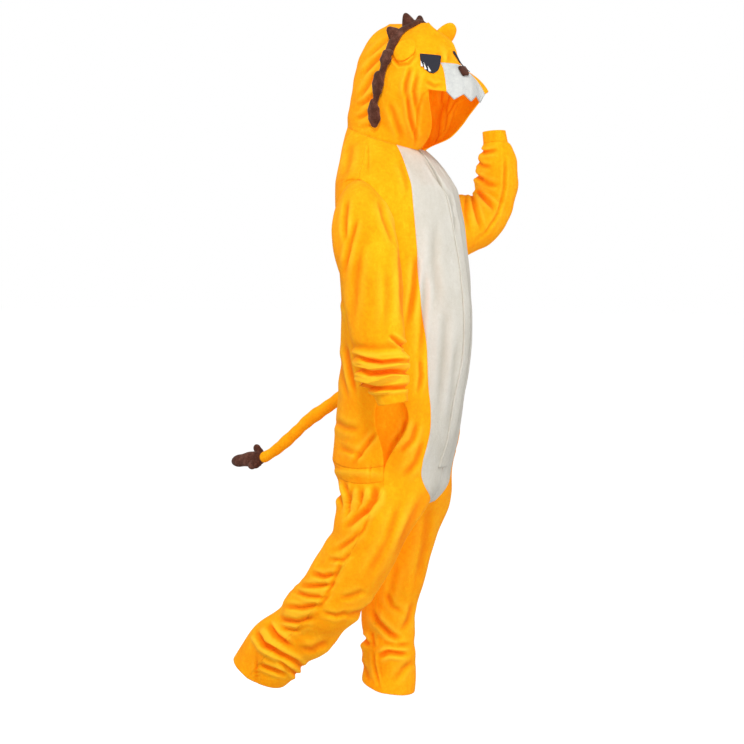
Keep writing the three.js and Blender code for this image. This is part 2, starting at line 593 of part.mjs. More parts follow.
// Fronts, belly and back
const bellyLast = rowOf(bellyEnd);
const bandRows = { top: rowOf(bandTop), bottom: rowOf(bandBottom) };
for (const side of sides) {
  const { front, back } = grids[side];
  const isBelly = (r, c) => r < bellyLast && c < bellyCols;
  addPiece(`belly_${side}`, wallGeometry(front, { keep: isBelly }), 'cream');
  addPiece(`front_${side}`, wallGeometry(front, { keep: (r, c) => !isBelly(r, c) }), 'orange');
  addPiece(`back_upper_${side}`, wallGeometry(back, { keep: (r) => r < bandRows.top }), 'orange');
  addPiece(`seat_band_${side}`, wallGeometry(back, { keep: (r) => r >= bandRows.top && r < bandRows.bottom }), 'orange');
  addPiece(`seat_leg_${side}`, wallGeometry(back, { keep: (r) => r >= bandRows.bottom }), 'orange');
}


// Placket: a strip over the middle, made from the belly's own points
const middleStrip = (from, to) => bodyRows.slice(from, to + 1).map((down, r) => {
  const right = grids.right.front[from + r];
  const left = grids.left.front[from + r];
  return [right[placketCols], left[0], left[placketCols]];
});
addPiece('placket', wallGeometry(middleStrip(0, bellyLast - 4), { raise: lift }), 'cream');

// Pocket bags: each lies behind a side seam and hollows inwards from its rim
const pocketRows = { top: rowOf(pocketTop), bottom: rowOf(bandBottom) };
const bagDepth = 26;
for (const side of sides) {
  const bag = [];
  for (let r = pocketRows.top; r <= pocketRows.bottom; r += 1) {
    const front = grids[side].front[r];
    const back = grids[side].back[r];
    const lips = { p: front[lastFront].p.clone().add(back[0].p).multiplyScalar(0.5), n: front[lastFront].n };
    const row = [front[lastFront - 2], front[lastFront - 1], lips, back[1], back[2]];
    const drop = (r - pocketRows.top) / (pocketRows.bottom - pocketRows.top);
    bag.push(row.map((vertex, c) => {
      const depth = wall + 0.8 + bagDepth * Math.sin(Math.PI * drop) * Math.sin(Math.PI * c / (row.length - 1));
      return { p: vertex.p.clone().addScaledVector(vertex.n, -depth), n: vertex.n };
    }));
  }
  addPiece(`pocket_bag_${side}`, wallGeometry(bag, { thick: 1.6 }), 'orange');
}

for (const side of sides) {
  addPiece(`sleeve_${side}`, wallGeometry(sleeveGrids[side], { round: true }), 'orange');
  const cuff = sleeveGrid(side, [sleeveEnd[side], cuffEnd[side]]);
  addPiece(`cuff_${side}`, wallGeometry(cuff, { round: true }), 'orange');
}

// Hood rings from the neck to the crown. Each has its height at the front and at the back, and the
// places of the brow's middle, the brow's side, the opening's corner, the mane seam, the rear side
// and the back. Rings under muzzleRing start at the corner, which there is the opening's edge.
const muzzleRing = 5;
const crownRing = 10;
const hoodRings = [
  { k: 1, front: 4, back: 76, midY: -132, sideX: 32, sideY: -122, edgeX: 50, edgeY: -105, maneX: 104, maneY: 14, rearX: 88, rearY: 95, backY: 128 },
  { k: 2, front: 26, back: 106, midY: -158, sideX: 42, sideY: -146, edgeX: 68, edgeY: -125, maneX: 108, maneY: 0, rearX: 90, rearY: 86, backY: 118 },
  { k: 3, front: 50, back: 134, midY: -180, sideX: 50, sideY: -168, edgeX: 80, edgeY: -138, maneX: 109, maneY: -12, rearX: 90, rearY: 80, backY: 112 },
  { k: 4, front: 76, back: 160, midY: -200, sideX: 56, sideY: -188, edgeX: 92, edgeY: -150, maneX: 108, maneY: -20, rearX: 88, rearY: 76, backY: 110 },
  { k: 5, front: 103, back: 186, midY: -214, sideX: 62, sideY: -197, edgeX: 98, edgeY: -158, maneX: 106, maneY: -27, rearX: 86, rearY: 70, backY: 108 },
  { k: 6, front: 148, back: 214, midY: -205, sideX: 46, sideY: -180, edgeX: 84, edgeY: -126, maneX: 101, maneY: -36, rearX: 81, rearY: 62, backY: 100 },
  { k: 7, front: 180, back: 240, midY: -162, sideX: 36, sideY: -149, edgeX: 71, edgeY: -106, maneX: 93, maneY: -44, rearX: 71, rearY: 53, backY: 88 },
  { k: 8, front: 208, back: 264, midY: -130, sideX: 30, sideY: -121, edgeX: 58, edgeY: -90, maneX: 76, maneY: -50, rearX: 56, rearY: 42, backY: 72 },
  { k: 9, front: 248, back: 281, midY: -106, sideX: 22, sideY: -99, edgeX: 40, edgeY: -78, maneX: 50, maneY: -55, rearX: 36, rearY: 24, backY: 54 },
  { k: 10, front: 282, back: 291, midY: -84, sideX: 0, sideY: -78, edgeX: 0, edgeY: -71, maneX: 0, maneY: -58, rearX: 0, rearY: -4, backY: 34 },
];
const hoodAt = reader(hoodRings, 'k');
const station = { middle: 0, side: 1, edge: 2, mane: 3, rear: 4, back: 5 };

// A curve through the stations of one ring, level across the middle at both ends
function hoodLocal(s, k) {
  const ring = hoodAt(k);
  const xs = [0, ring.sideX, ring.edgeX, ring.maneX, ring.rearX, 0];
  const ys = [ring.midY, ring.sideY, ring.edgeY, ring.maneY, ring.rearY, ring.backY];
  const from = Math.min(Math.floor(s), 4);
  const t = s - from;
  const read = (list, i, sign) => {
    if (i < 0) return sign * list[-i];
    if (i > 5) return sign * list[10 - i];
    return list[i];
  };
  const through = (list, sign) => {
    const [a, b, c, d] = [-1, 0, 1, 2].map((step) => read(list, from + step, sign));
    const curve = (c - a) * t * (1 - t) ** 2 / 2 - (d - b) * t * t * (1 - t) / 2;
    return b + (c - b) * t * t * (3 - 2 * t) + curve;
  };
  const x = Math.max(through(xs, -1), 0.01);
  const y = through(ys, 1);
  const z = mix(ring.front, ring.back, clamp((y - ring.midY) / (ring.backY - ring.midY), 0, 1) ** 1.5);
  return vec(x, y, z);
}

// Folds of the hood: a trough along a line from (s, k) to (s2, k2)
const hoodFolds = [
  { s: 3.3, k: 8.2, s2: 4.3, k2: 6.2, across: 11, rise: -7 },
  { s: 3.25, k: 6.6, s2: 4.3, k2: 4.6, across: 11, rise: -7 },
  { s: 3.25, k: 5.0, s2: 4.2, k2: 3.0, across: 11, rise: -6 },
  { s: 3.25, k: 3.4, s2: 4.1, k2: 1.8, across: 11, rise: -6 },
  { s: 2.5, k: 5.2, s2: 2.5, k2: 1.6, across: 10, rise: -6 },
  { s: 2.75, k: 4.6, s2: 2.75, k2: 1.8, across: 8, rise: 5 },
];

function hoodFoldRise(point, lines) {
  let rise = 0;
  for (const line of lines) {
    const way = line.to.clone().sub(line.from);
    const t = clamp(point.clone().sub(line.from).dot(way) / way.lengthSq(), 0, 1);
    const gap = point.distanceTo(line.from.clone().addScaledVector(way, t));
    rise += line.rise * bump(gap, 0, line.across) * Math.sin(Math.PI * clamp(0.12 + 0.76 * t, 0, 1));
  }
  return rise;
}
const foldLines = hoodFolds.map((fold) => ({
  from: hoodLocal(fold.s, fold.k), to: hoodLocal(fold.s2, fold.k2), across: fold.across, rise: fold.rise,
}));

function turned(vector, height) {
  return vector.applyAxisAngle(vec(0, 0, 1), hoodTurn * deg * ease(height / 110));
}

const cornerPull = vec(cornerReach.x, cornerReach.y, cornerReach.z);

// A vertex of the hood; share is the body's place on the half ring, used at the neck seam
function hoodVertex(side, s, k, share) {
  const neckPoint = bodyPoint(side, share, 0);
  const pointAt = (a, b) => {
    const ring = hoodLocal(clamp(a, 0, 5), clamp(b, 1, crownRing));
    if (b >= 1) return ring;
    return neckPoint.clone().lerp(ring, ease(clamp(b, 0, 1)));
  };
  const p = pointAt(s, k);
  const n = surfaceNormal(pointAt, clamp(s, 0.05, 4.95), clamp(k, 1.05, crownRing - 0.1), 0.05, 0.05).negate();
  if (n.dot(vec(p.x + 1, p.y, p.z - 120)) < 0) n.negate();
  const atMiddle = p.x < 0.5;
  if (atMiddle) n.setX(0).normalize();
  const body = mirrored('left', { p: neckPoint, n: bodyNormal(side, (a, b) => bodyPoint(side, a, b), share, 4) });
  if (k < 1) n.lerp(body.n, 1 - k).normalize();
  const fade = ease(k - 0.5) * (atMiddle ? 0 : 1) * ease((crownRing - k) / 1.2);
  p.addScaledVector(n, hoodFoldRise(p, foldLines) * fade);
  if (side === 'left' && k > 1) p.addScaledVector(cornerPull, bump(s, station.edge, 0.75) * bump(k, muzzleRing + 0.2, 1.2));
  const vertex = mirrored(side, { p, n });
  const height = vertex.p.z;
  return k === 0 ? vertex : { p: turned(vertex.p, height), n: turned(vertex.n, height) };
}

const browCols = 5;
const hoodKs = [0, 0.5, 1, 1.7, 2.4, 3.1, 3.8, 4.4, muzzleRing, 5.5, 6, 6.4, 6.8, 7.3, 7.8, 8.3, 8.75, 9.2, 9.7, crownRing];
const lastHoodCol = browCols + lastFront + backCols;
function hoodColumn(c) {
  if (c <= browCols) return { s: 2 * c / browCols, share: 0 };
  if (c <= browCols + lastFront) {
    const share = frontU(0, c - browCols);
    return { s: 2 + share / seamU(0).front, share };
  }
  const t = (c - browCols - lastFront) / backCols;
  return { s: 3 + 2 * t, share: mix(seamU(0).back, 1, t) };
}
const hoods = {};
for (const side of sides) {
  hoods[side] = hoodKs.map((k) => Array.from({ length: lastHoodCol + 1 }, (_, c) => {
    const { s, share } = hoodColumn(c);
    return hoodVertex(side, s, k, share);
  }));
}
const muzzleCols = 3;
const muzzleFirst = hoodKs.indexOf(muzzleRing);
const muzzleLast = hoodKs.indexOf(6.8);
const maneCol = browCols + lastFront;
for (const side of sides) {
  const isMuzzle = (r, c) => c < muzzleCols && r < muzzleLast;
  const isOpen = (r, c) => c < browCols && r < muzzleFirst;
  const isFace = (r, c) => c < maneCol && !isMuzzle(r, c) && !isOpen(r, c);
  addPiece(`hood_face_${side}`, wallGeometry(hoods[side], { keep: isFace }), 'orange');
  addPiece(`hood_rear_${side}`, wallGeometry(hoods[side], { keep: (r, c) => c >= maneCol }), 'orange');
}

// Muzzle: one piece over the middle, with a jagged lower edge
const toothDrop = 17;
const muzzleGrid = [];
for (let r = muzzleFirst; r <= muzzleLast; r += 1) {
  const right = hoods.right[r].slice(1, muzzleCols + 1).reverse();
  const left = hoods.left[r].slice(0, muzzleCols + 1);
  muzzleGrid.push([...right, ...left]);
}
muzzleGrid[0] = muzzleGrid[0].map((vertex, c, row) => {
  if (c === 0 || c === row.length - 1) return vertex;
  const drop = c % 2 === 1 ? toothDrop : 2;
  return { p: vertex.p.clone().add(vec(0, 2, -drop)), n: vertex.n };
});
addPiece('muzzle', wallGeometry(muzzleGrid), 'pale');


// A stuffed shape: rings along a line, wide one way and flat the other, with a point at each end
function podGeometry({ path, across, wide, flat, profile, steps = 6, ringCount = 8 }) {
  const points = [path(0)];
  const faces = [];
  for (let i = 1; i < steps; i += 1) {
    const t = i / steps;
    const way = path(t + 0.01).sub(path(t - 0.01)).normalize();
    const side = across(t).clone().addScaledVector(way, -across(t).dot(way)).normalize();
    const up = way.clone().cross(side).normalize();
    for (let j = 0; j < ringCount; j += 1) {
      const angle = 2 * Math.PI * j / ringCount;
      const point = path(t).addScaledVector(side, wide * profile(t) * Math.cos(angle));
      points.push(point.addScaledVector(up, flat * profile(t) * Math.sin(angle)));
    }
  }
  points.push(path(1));
  const last = points.length - 1;
  for (let j = 0; j < ringCount; j += 1) {
    const next = (j + 1) % ringCount;
    faces.push(0, 1 + next, 1 + j);
    for (let i = 0; i < steps - 2; i += 1) {
      const a = 1 + i * ringCount;
      const b = a + ringCount;
      faces.push(a + j, a + next, b + next, a + j, b + next, b + j);
    }
    const a = 1 + (steps - 2) * ringCount;
    faces.push(a + j, a + next, last);
  }
  return solidGeometry(points, faces);
}
const roundEnds = (t) => Math.sqrt(Math.max(1 - (2 * t - 1) ** 2, 0));
const taper = (t) => Math.min(1, Math.sqrt(t / 0.22)) * Math.min(1, ((1 - t) / 0.7) ** 0.8);
const seat = 0.5;

// Mane: spikes over the crown and lobes down each side, all sewn into the seam behind the brow
const maneSpike = { high: 42, wide: 27, flat: 10 };
const maneLobe = { wide: 14, flat: 9 };
const spikePlaces = [
  { side: 'left', k: crownRing, leanBack: 0.15 },
  { side: 'right', k: 9.25, leanBack: 0.4 },
  { side: 'left', k: 9.25, leanBack: 0.4 },
  { side: 'right', k: 8.35, leanBack: 0.6 },
  { side: 'left', k: 8.35, leanBack: 0.6 },
];
const lobePlaces = [
  { from: 7.3, to: 5.75 },
  { from: 5.68, to: 3.5 },
  { from: 3.43, to: 1.4 },
];
const sideways = turned(vec(1, 0, 0), 200);
const backwards = turned(vec(0, 1, 0), 200);
let tuftNumber = 0;
const tuftName = () => {
  tuftNumber += 1;
  return `mane_tuft_${String(tuftNumber).padStart(2, '0')}`;
};
for (const place of spikePlaces) {
  const { p, n } = hoodVertex(place.side, station.mane, place.k, 0.5);
  const way = n.clone().addScaledVector(backwards, place.leanBack).normalize();
  const spread = backwards.clone().cross(n).normalize();
  const path = (t) => p.clone().addScaledVector(n, seat).addScaledVector(way, maneSpike.high * t)
    .addScaledVector(backwards, 8 * t * t);
  addPiece(tuftName(), podGeometry({ path, across: () => spread, ...maneSpike, profile: taper }), 'brown');
}
for (const side of sides) {
  for (const place of lobePlaces) {
    const across = () => backwards;
    const path = (t) => {
      const { p, n } = hoodVertex(side, station.mane, mix(place.from, place.to, t), 0.5);
      return p.addScaledVector(n, maneLobe.flat + seat);
    };
    const profile = (t) => 0.25 * Math.min(1, t * 20) * Math.min(1, (1 - t) * 20) + 0.75 * roundEnds(t);
    addPiece(tuftName(), podGeometry({ path, across, ...maneLobe, profile, steps: 7 }), 'brown');
  }
}

// Ears: the right one is folded down over the side, the left one stands out
const ear = { wide: 25, flat: 5, long: 62 };
const earFoot = (t) => hoodVertex('right', mix(2.35, 2.72, t), mix(8.6, 6.4, t), 0.3);
const foldedEar = {
  path: (t) => {
    const { p, n } = earFoot(t);
    return p.addScaledVector(n, ear.flat - 1.3 * seat + 2 * t);
  },
  across: (t) => earFoot(t).n.cross(earFoot(1).p.sub(earFoot(0).p)).normalize(),
};
const earRoot = hoodVertex('left', 2.5, 8.9, 0.3);
const standingEar = {
  path: (t) => earRoot.p.clone().addScaledVector(earRoot.n, seat + ear.long * t * 0.8)
    .addScaledVector(vec(0.75, -0.5, 0.3), ear.long * t * 0.45),
  across: () => vec(-0.39, 0.73, 0.55).normalize(),
};
const earProfile = (t) => Math.min(1, Math.sqrt(t / 0.3) * 0.8 + 0.2 * t) * Math.sqrt(Math.max(1 - t * t * t, 0));
addPiece('ear_right', podGeometry({ ...foldedEar, wide: ear.wide, flat: ear.flat, profile: earProfile }), 'orange');
addPiece('ear_left', podGeometry({ ...standingEar, wide: ear.wide, flat: ear.flat, profile: earProfile }), 'orange');

// Eyes: flat patches with a level top and a round foot, made from the brow's surface
const eye = { s: 1.04, k: 7.8, halfS: 0.7, drop: 1.75, slide: 0.36, rows: 5, cols: 4 };
for (const side of sides) {
  const patch = Array.from({ length: eye.rows }, (_, r) => Array.from({ length: eye.cols + 1 }, (_, c) => {
    const down = 0.94 * r / (eye.rows - 1);
    const across = (2 * c / eye.cols - 1) * Math.sqrt(1 - down ** 3);
    return hoodVertex(side, eye.s + eye.halfS * across + eye.slide * down, eye.k - eye.drop * down, 0.2);
  }));
  addPiece(`eye_${side}`, wallGeometry(patch, { raise: 1.1, thick: 1.4 }), 'slate');
}

// Nose: a thick pad over the middle of the muzzle, made from its surface
const nose = { reach: 0.56, low: 5.95, high: 6.75, rows: 5, cols: 6, thick: 9, raise: 1 };
const nosePatch = Array.from({ length: nose.rows }, (_, r) => Array.from({ length: nose.cols + 1 }, (_, c) => {
  const level = r / (nose.rows - 1);
  const across = (2 * c / nose.cols - 1) * (0.45 + 0.55 * Math.sqrt(1 - (1 - level) ** 2));
  const side = across < 0 ? 'right' : 'left';
  return hoodVertex(side, nose.reach * Math.abs(across), mix(nose.low, nose.high, level), 0.1);
}));
addPiece('nose', wallGeometry(nosePatch, { raise: nose.raise, thick: nose.thick }), 'brown');

// Tail: a stuffed tube on the middle of the back, with a stuffed tuft
const tailDown = 612;
const tailRadius = 18;
const tailRoot = bodyPoint('left', 1, tailDown);
const tailCurve = new THREE.CatmullRomCurve3([
  vec(0, tailRoot.y + seat, tailRoot.z), vec(0, tailRoot.y + 40, tailRoot.z - 22),
  vec(0, 262, -682), vec(0, 312, -730), vec(0, 362, -770), vec(0, 402, -792),
]);
addPiece('tail', podGeometry({
  path: (t) => tailCurve.getPoint(clamp(t, 0, 1)),
  across: () => vec(1, 0, 0),
  wide: tailRadius,
  flat: tailRadius,
  profile: (t) => Math.min(1, Math.sqrt(t / 0.09), Math.sqrt((1 - t) / 0.06)) * mix(1, 0.8, t),
  steps: 14,
}), 'orange');
const tuft = { wide: 30, flat: 20, long: 98 };
addPiece('tail_tuft', podGeometry({
  path: (t) => vec(0, 402 + seat + tuft.long * t, -792 - 6 * t),
  across: () => vec(0, 0, 1),
  wide: tuft.wide,
  flat: tuft.flat,
  profile: taper,
  steps: 7,
}), 'brown');

export default group;
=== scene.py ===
import bpy
import bmesh
import numpy as np
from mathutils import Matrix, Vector
from mathutils.bvhtree import BVHTree


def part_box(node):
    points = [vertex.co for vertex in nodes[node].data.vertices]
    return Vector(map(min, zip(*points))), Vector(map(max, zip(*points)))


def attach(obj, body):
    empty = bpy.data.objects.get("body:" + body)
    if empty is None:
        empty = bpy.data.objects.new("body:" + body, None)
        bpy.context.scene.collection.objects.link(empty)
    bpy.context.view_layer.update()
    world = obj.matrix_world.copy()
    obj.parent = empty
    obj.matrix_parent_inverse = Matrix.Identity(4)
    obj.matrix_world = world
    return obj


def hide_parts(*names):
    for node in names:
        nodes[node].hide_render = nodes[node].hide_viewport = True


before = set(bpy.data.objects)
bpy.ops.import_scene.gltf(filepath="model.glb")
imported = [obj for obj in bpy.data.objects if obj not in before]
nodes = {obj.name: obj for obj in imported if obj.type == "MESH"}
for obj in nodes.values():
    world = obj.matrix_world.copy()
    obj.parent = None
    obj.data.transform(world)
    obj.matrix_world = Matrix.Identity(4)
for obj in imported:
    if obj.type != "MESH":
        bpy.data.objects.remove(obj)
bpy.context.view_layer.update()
root = "root"

# Camera at the picture's own angle, level with the waist and four metres away
camera = {"azimuth": -62, "distance": 4.0, "height": -0.35, "lens": 79.0, "sensor": 36.0, "clip": 200.0,
          "turn": -0.01715, "drop": -0.05205}
turnAngle = np.radians(camera["azimuth"])
sideWay = np.array([np.cos(turnAngle), np.sin(turnAngle), 0.0])
levelWay = np.array([-np.sin(turnAngle), np.cos(turnAngle), 0.0])
eyePoint = -levelWay * camera["distance"] + np.array([0.0, 0.0, camera["height"]])
aimWay = levelWay + camera["turn"] * sideWay + camera["drop"] * np.array([0.0, 0.0, 1.0])
aimWay = aimWay / np.linalg.norm(aimWay)
rightWay = np.cross(aimWay, [0.0, 0.0, 1.0])
rightWay = rightWay / np.linalg.norm(rightWay)
topWay = np.cross(rightWay, aimWay)
imageSize = 744  # Pixels on each side of the picture
focal = imageSize * camera["lens"] / camera["sensor"]

cameraData = bpy.data.cameras.new("view")
cameraData.lens = camera["lens"]
cameraData.sensor_width = camera["sensor"]
cameraData.clip_end = camera["clip"]
cameraObject = bpy.data.objects.new("view", cameraData)
bpy.context.scene.collection.objects.link(cameraObject)
cameraObject.location = Vector(eyePoint)
cameraObject.rotation_euler = Vector(aimWay).to_track_quat("-Z", "Y").to_euler()
bpy.context.scene.camera = cameraObject
print("camera placed")


# Shader maths as expressions: a Term holds a socket, and every operator adds its node
class Term:
    def __init__(self, tree, socket):
        self.tree = tree
        self.socket = socket

    def math(self, operation, *values):
        node = self.tree.nodes.new("ShaderNodeMath")
        node.operation = operation
        for place, value in zip(node.inputs, values):
            if isinstance(value, Term):
                self.tree.links.new(value.socket, place)
            else:
                place.default_value = value
        return Term(self.tree, node.outputs[0])

    def __add__(self, other):
        return self.math("ADD", self, other)

    def __radd__(self, other):
        return self.math("ADD", other, self)

    def __sub__(self, other):
        return self.math("SUBTRACT", self, other)

    def __rsub__(self, other):
        return self.math("SUBTRACT", other, self)

    def __mul__(self, other):
        return self.math("MULTIPLY", self, other)

    def __rmul__(self, other):
        return self.math("MULTIPLY", other, self)

    def held(self):
        return self.math("MINIMUM", self.math("MAXIMUM", self, 0.0), 1.0)


# One material's tree: add makes any node, the other methods those that come up often
class Finish:
    def __init__(self, name):
        self.material = bpy.data.materials.new(name)
        self.material.use_nodes = True
        self.tree = self.material.node_tree
        self.tree.nodes.clear()
        self.shader = self.tree.nodes.new("ShaderNodeBsdfPrincipled")
        output = self.tree.nodes.new("ShaderNodeOutputMaterial")
        self.tree.links.new(self.shader.outputs[0], output.inputs[0])
        self.place = self.add("ShaderNodeTexCoord", out="Object")

    def add(self, kind, settings=None, out=0, **sockets):
        node = self.tree.nodes.new(kind)
        for key, value in (settings or {}).items():
            setattr(node, key, value)
        for key, value in sockets.items():
            # A socket by its name, or n and its number
            numbered = key[0] == "n" and key[1:].isdigit()
            place = node.inputs[int(key[1:]) if numbered else key]
            self.feed(place, value)
        return Term(self.tree, node.outputs[out])

    def feed(self, place, value):
        if isinstance(value, Term):
            self.tree.links.new(value.socket, place)
        else:
            place.default_value = value

    def noise(self, scale, detail=2.0, roughness=0.5, where=None):
        return self.add("ShaderNodeTexNoise", Vector=where or self.place,
                        Scale=scale, Detail=detail, Roughness=roughness)

    def blend(self, share, first, second):
        node = self.tree.nodes.new("ShaderNodeMix")
        node.data_type = "RGBA"
        self.feed(node.inputs[0], share)
        self.feed(node.inputs[6], first)
        self.feed(node.inputs[7], second)
        return Term(self.tree, node.outputs[2])

    def bump(self, height, strength, distance):
        self.feed(self.shader.inputs["Normal"],
                  self.add("ShaderNodeBump", Height=height, Strength=strength, Distance=distance))

    def set(self, **values):
        for key, value in values.items():
            self.feed(self.shader.inputs[key.replace("_", " ")], value)


def tone(red, green, blue):
    # A colour given as it looks on a screen, 0 to 255, as the shader's linear value
    share = np.array([red, green, blue]) / 255.0
    linear = np.where(share <= 0.04045, share / 12.92, ((share + 0.055) / 1.055) ** 2.4)
    return (float(linear[0]), float(linear[1]), float(linear[2]), 1.0)


# Short brushed pile: tips, clumps and brushed patches, each with its noise and its share in shade and height
nap = {
    "tips": {"noise": (3.0, 0.65), "shade": 0.3, "height": 0.55},
    "clumps": {"size": 0.22, "noise": (3.0, 0.6), "shade": 0.35, "height": 0.9},
    "brushed": {"noise": (19.0, 5.0, 0.62), "shade": 0.55, "height": 0.6},
    "hang": (1.0, 1.0, 0.45),  # The nap runs downwards
    "deep": {"below": 0.60, "steep": 6.0}, "pale": {"above": 0.61, "steep": 5.5},
    # The shares by which the fold height paints shade into troughs and highlight onto ridges, then roughness,
    # bump, sheen and specular
    "shadow": -0.62, "crestHighlight": 0.6, "rough": 0.78, "roughSpan": 0.2, "bump": 0.55, "bumpDistance": 0.0022,
    "sheenRoughness": 0.45, "specular": 0.12,
}


def fleece(name, base, deep, pale, shadow, crestHighlight, pile=520.0, sheen=0.08, tint=(1.0, 0.66, 0.2, 1.0),
           glow=0.0):
    finish = Finish(name)
    tips = finish.noise(pile, *nap["tips"]["noise"])
    clumps = finish.noise(pile * nap["clumps"]["size"], *nap["clumps"]["noise"])
    hanging = finish.add("ShaderNodeMapping", n0=finish.place, Scale=nap["hang"])
    brushed = finish.noise(*nap["brushed"]["noise"], where=hanging)
    shade, height = (brushed * nap["brushed"][use] + clumps * nap["clumps"][use] + tips * nap["tips"][use]
                     for use in ("shade", "height"))
    colour = finish.blend(((nap["deep"]["below"] - shade) * nap["deep"]["steep"]).held(), base, deep)
    colour = finish.blend(((shade - nap["pale"]["above"]) * nap["pale"]["steep"]).held(), colour, pale)
    # Painted shade and highlight: the fold height darkens the colour towards the shadow tone in troughs and
    # lightens it towards the highlight tone on ridges
    fold = finish.add("ShaderNodeAttribute", {"attribute_name": "fold"}, out="Fac")
    colour = finish.blend((fold * nap["shadow"]).held(), colour, shadow)
    colour = finish.blend((fold * nap["crestHighlight"]).held(), colour, crestHighlight)
    finish.set(Base_Color=colour, Roughness=(nap["rough"] + tips * nap["roughSpan"]).held())
    finish.bump(height, nap["bump"], nap["bumpDistance"])
    finish.set(Sheen_Weight=sheen, Sheen_Roughness=nap["sheenRoughness"], Sheen_Tint=tint,
               Specular_IOR_Level=nap["specular"])
    if glow > 0.0:
        # Painted glow standing in for light that has come through the thin cloth: it gives off its own colour
        # and lifts its shade
        finish.set(Emission_Color=colour, Emission_Strength=glow)
    return finish.material


# Each fleece: base, darker and paler mottle, painted shade of fold troughs, painted highlight of fold ridges
orangeFleece = fleece("orangeFleece", tone(254, 162, 6), tone(250, 144, 0), tone(255, 182, 22),
                      tone(234, 100, 0), tone(255, 196, 46), glow=0.17)
creamFleece = fleece("creamFleece", tone(206, 202, 191), tone(198, 193, 180), tone(215, 212, 203),
                     tone(172, 164, 148), tone(222, 219, 211), tint=(1.0, 0.97, 0.9, 1.0))
paleMuzzle = fleece("paleMuzzle", tone(206, 207, 203), tone(190, 192, 190), tone(218, 218, 214),
                    tone(156, 158, 160), tone(224, 224, 222), pile=420.0, tint=(1.0, 1.0, 1.0, 1.0))
brownPlush = fleece("brownPlush", tone(79, 44, 32), tone(44, 20, 13), tone(124, 80, 66),
                    tone(40, 18, 12), tone(144, 100, 86), pile=300.0, sheen=0.3, tint=(1.0, 0.8, 0.7, 1.0))
print("fleece finishes made")

# Centre lines of the torso, the legs, the sleeves and the hood; folds push the cloth away from them or in
torsoLine = [(0, .037, .012), (0, .018, -.064), (0, .003, -.15), (0, -.002, -.22), (0, -.005, -.33),
             (0, -.004, -.52), (0, .010, -.72), (0, .016, -.80)]
legLines = {
    "right": [(-.057, .014, -.85), (-.110, .016, -.922), (-.112, .034, -.975), (-.112, .068, -1.034),
              (-.112, .110, -1.092), (-.112, .158, -1.146), (-.112, .214, -1.200), (-.112, .278, -1.256),
              (-.112, .350, -1.330)],
    "left": [(.057, .020, -.85), (.110, .034, -.922), (.112, .050, -.985), (.112, .066, -1.05),
             (.112, .078, -1.115), (.112, .086, -1.18), (.112, .088, -1.245), (.112, .087, -1.40)],
}
sleeveLines = {
    "right": [(-.208, -.005, -.200), (-.233, -.022, -.204), (-.257, -.040, -.228), (-.273, -.058, -.266),
              (-.279, -.072, -.312), (-.281, -.082, -.364), (-.283, -.089, -.438), (-.280, -.095, -.494),
              (-.274, -.104, -.545), (-.265, -.117, -.588), (-.261, -.123, -.630)],
    "left": [(.208, -.005, -.200), (.245, -.016, -.197), (.302, -.038, -.188), (.346, -.058, -.172),
             (.372, -.068, -.144), (.387, -.075, -.108), (.394, -.078, -.068), (.395, -.080, -.027),
             (.391, -.080, .008), (.386, -.078, .026), (.379, -.075, .070)],
}
hoodLine = [(0, .030, .0), (0, .0, .10), (0, -.02, .17)]

# All folds: factors on their depths and widths, the shares of a line over which it deepens and dies out, and
# the two ridges, how many widths from the middle, how wide and how high
millimetre = 0.001
foldPlan = {"depth": 1.7, "width": 0.8, "start": 0.25, "end": 0.35, "ridgeAt": 2.0, "ridgeWide": 1.1,
            "ridgeHigh": 0.5}

# Folds, placed one by one: points of the picture, depth in millimetres, width in pixels
bodyFolds = [
    ([(378, 430), (364, 448), (350, 468)], 4.0, 2.6),
    ([(343, 297), (349, 312), (352, 326)], 3.5, 2.6),
    ([(354, 286), (352, 300), (350, 322)], 3.0, 2.2),
    ([(345, 340), (350, 368), (357, 400)], 4.0, 3.0),
    ([(340, 352), (343, 378), (350, 404)], 2.6, 3.0),
    ([(333, 420), (346, 428), (362, 430)], 2.4, 4.0),
    ([(337, 446), (352, 452), (368, 456)], 2.4, 3.0),
    ([(417, 250), (414, 288), (406, 336)], 4.5, 3.4),
    ([(425, 270), (423, 320), (419, 372)], 3.0, 3.4),
    ([(420, 356), (421, 376), (418, 398)], 3.5, 2.6),
    ([(409, 414), (403, 431), (388, 450)], 3.0, 2.4),
    ([(418, 420), (412, 440), (396, 456)], 4.0, 3.2),
    ([(424, 440), (416, 462), (399, 480)], 3.0, 4.0),
    ([(368, 138), (368, 158), (368, 180)], 1.6, 1.2),
    ([(398, 158), (405, 176), (409, 200)], 2.0, 3.0),
    ([(352, 140), (349, 160), (344, 182)], 2.0, 4.0),
    ([(436, 212), (434, 262), (440, 318)], 1.8, 5.0),
    ([(447, 300), (444, 360), (438, 430)], 2.0, 5.0),
    ([(459, 330), (453, 392), (446, 448)], 1.6, 4.0),
    ([(449, 190), (455, 214), (457, 240)], 2.0, 2.4),
    ([(423, 156), (436, 177), (452, 200)], 2.8, 1.7),
    ([(320, 472), (345, 473), (366, 474), (392, 476)], -2.2, 4.5),
    ([(370, 464), (370, 474), (370, 484)], 1.8, 1.1),
    ([(336, 205), (333, 260), (337, 318)], 3.0, 5.0),
    ([(334, 476), (338, 492), (345, 512)], 4.0, 2.6),
    ([(344, 480), (349, 498), (352, 520)], 5.0, 2.6),
    ([(352, 482), (351, 500), (345, 528)], 4.0, 2.4),
    ([(362, 486), (361, 504), (350, 522)], 5.5, 2.8),
    ([(376, 484), (374, 500), (357, 520)], 7.5, 4.2),
]
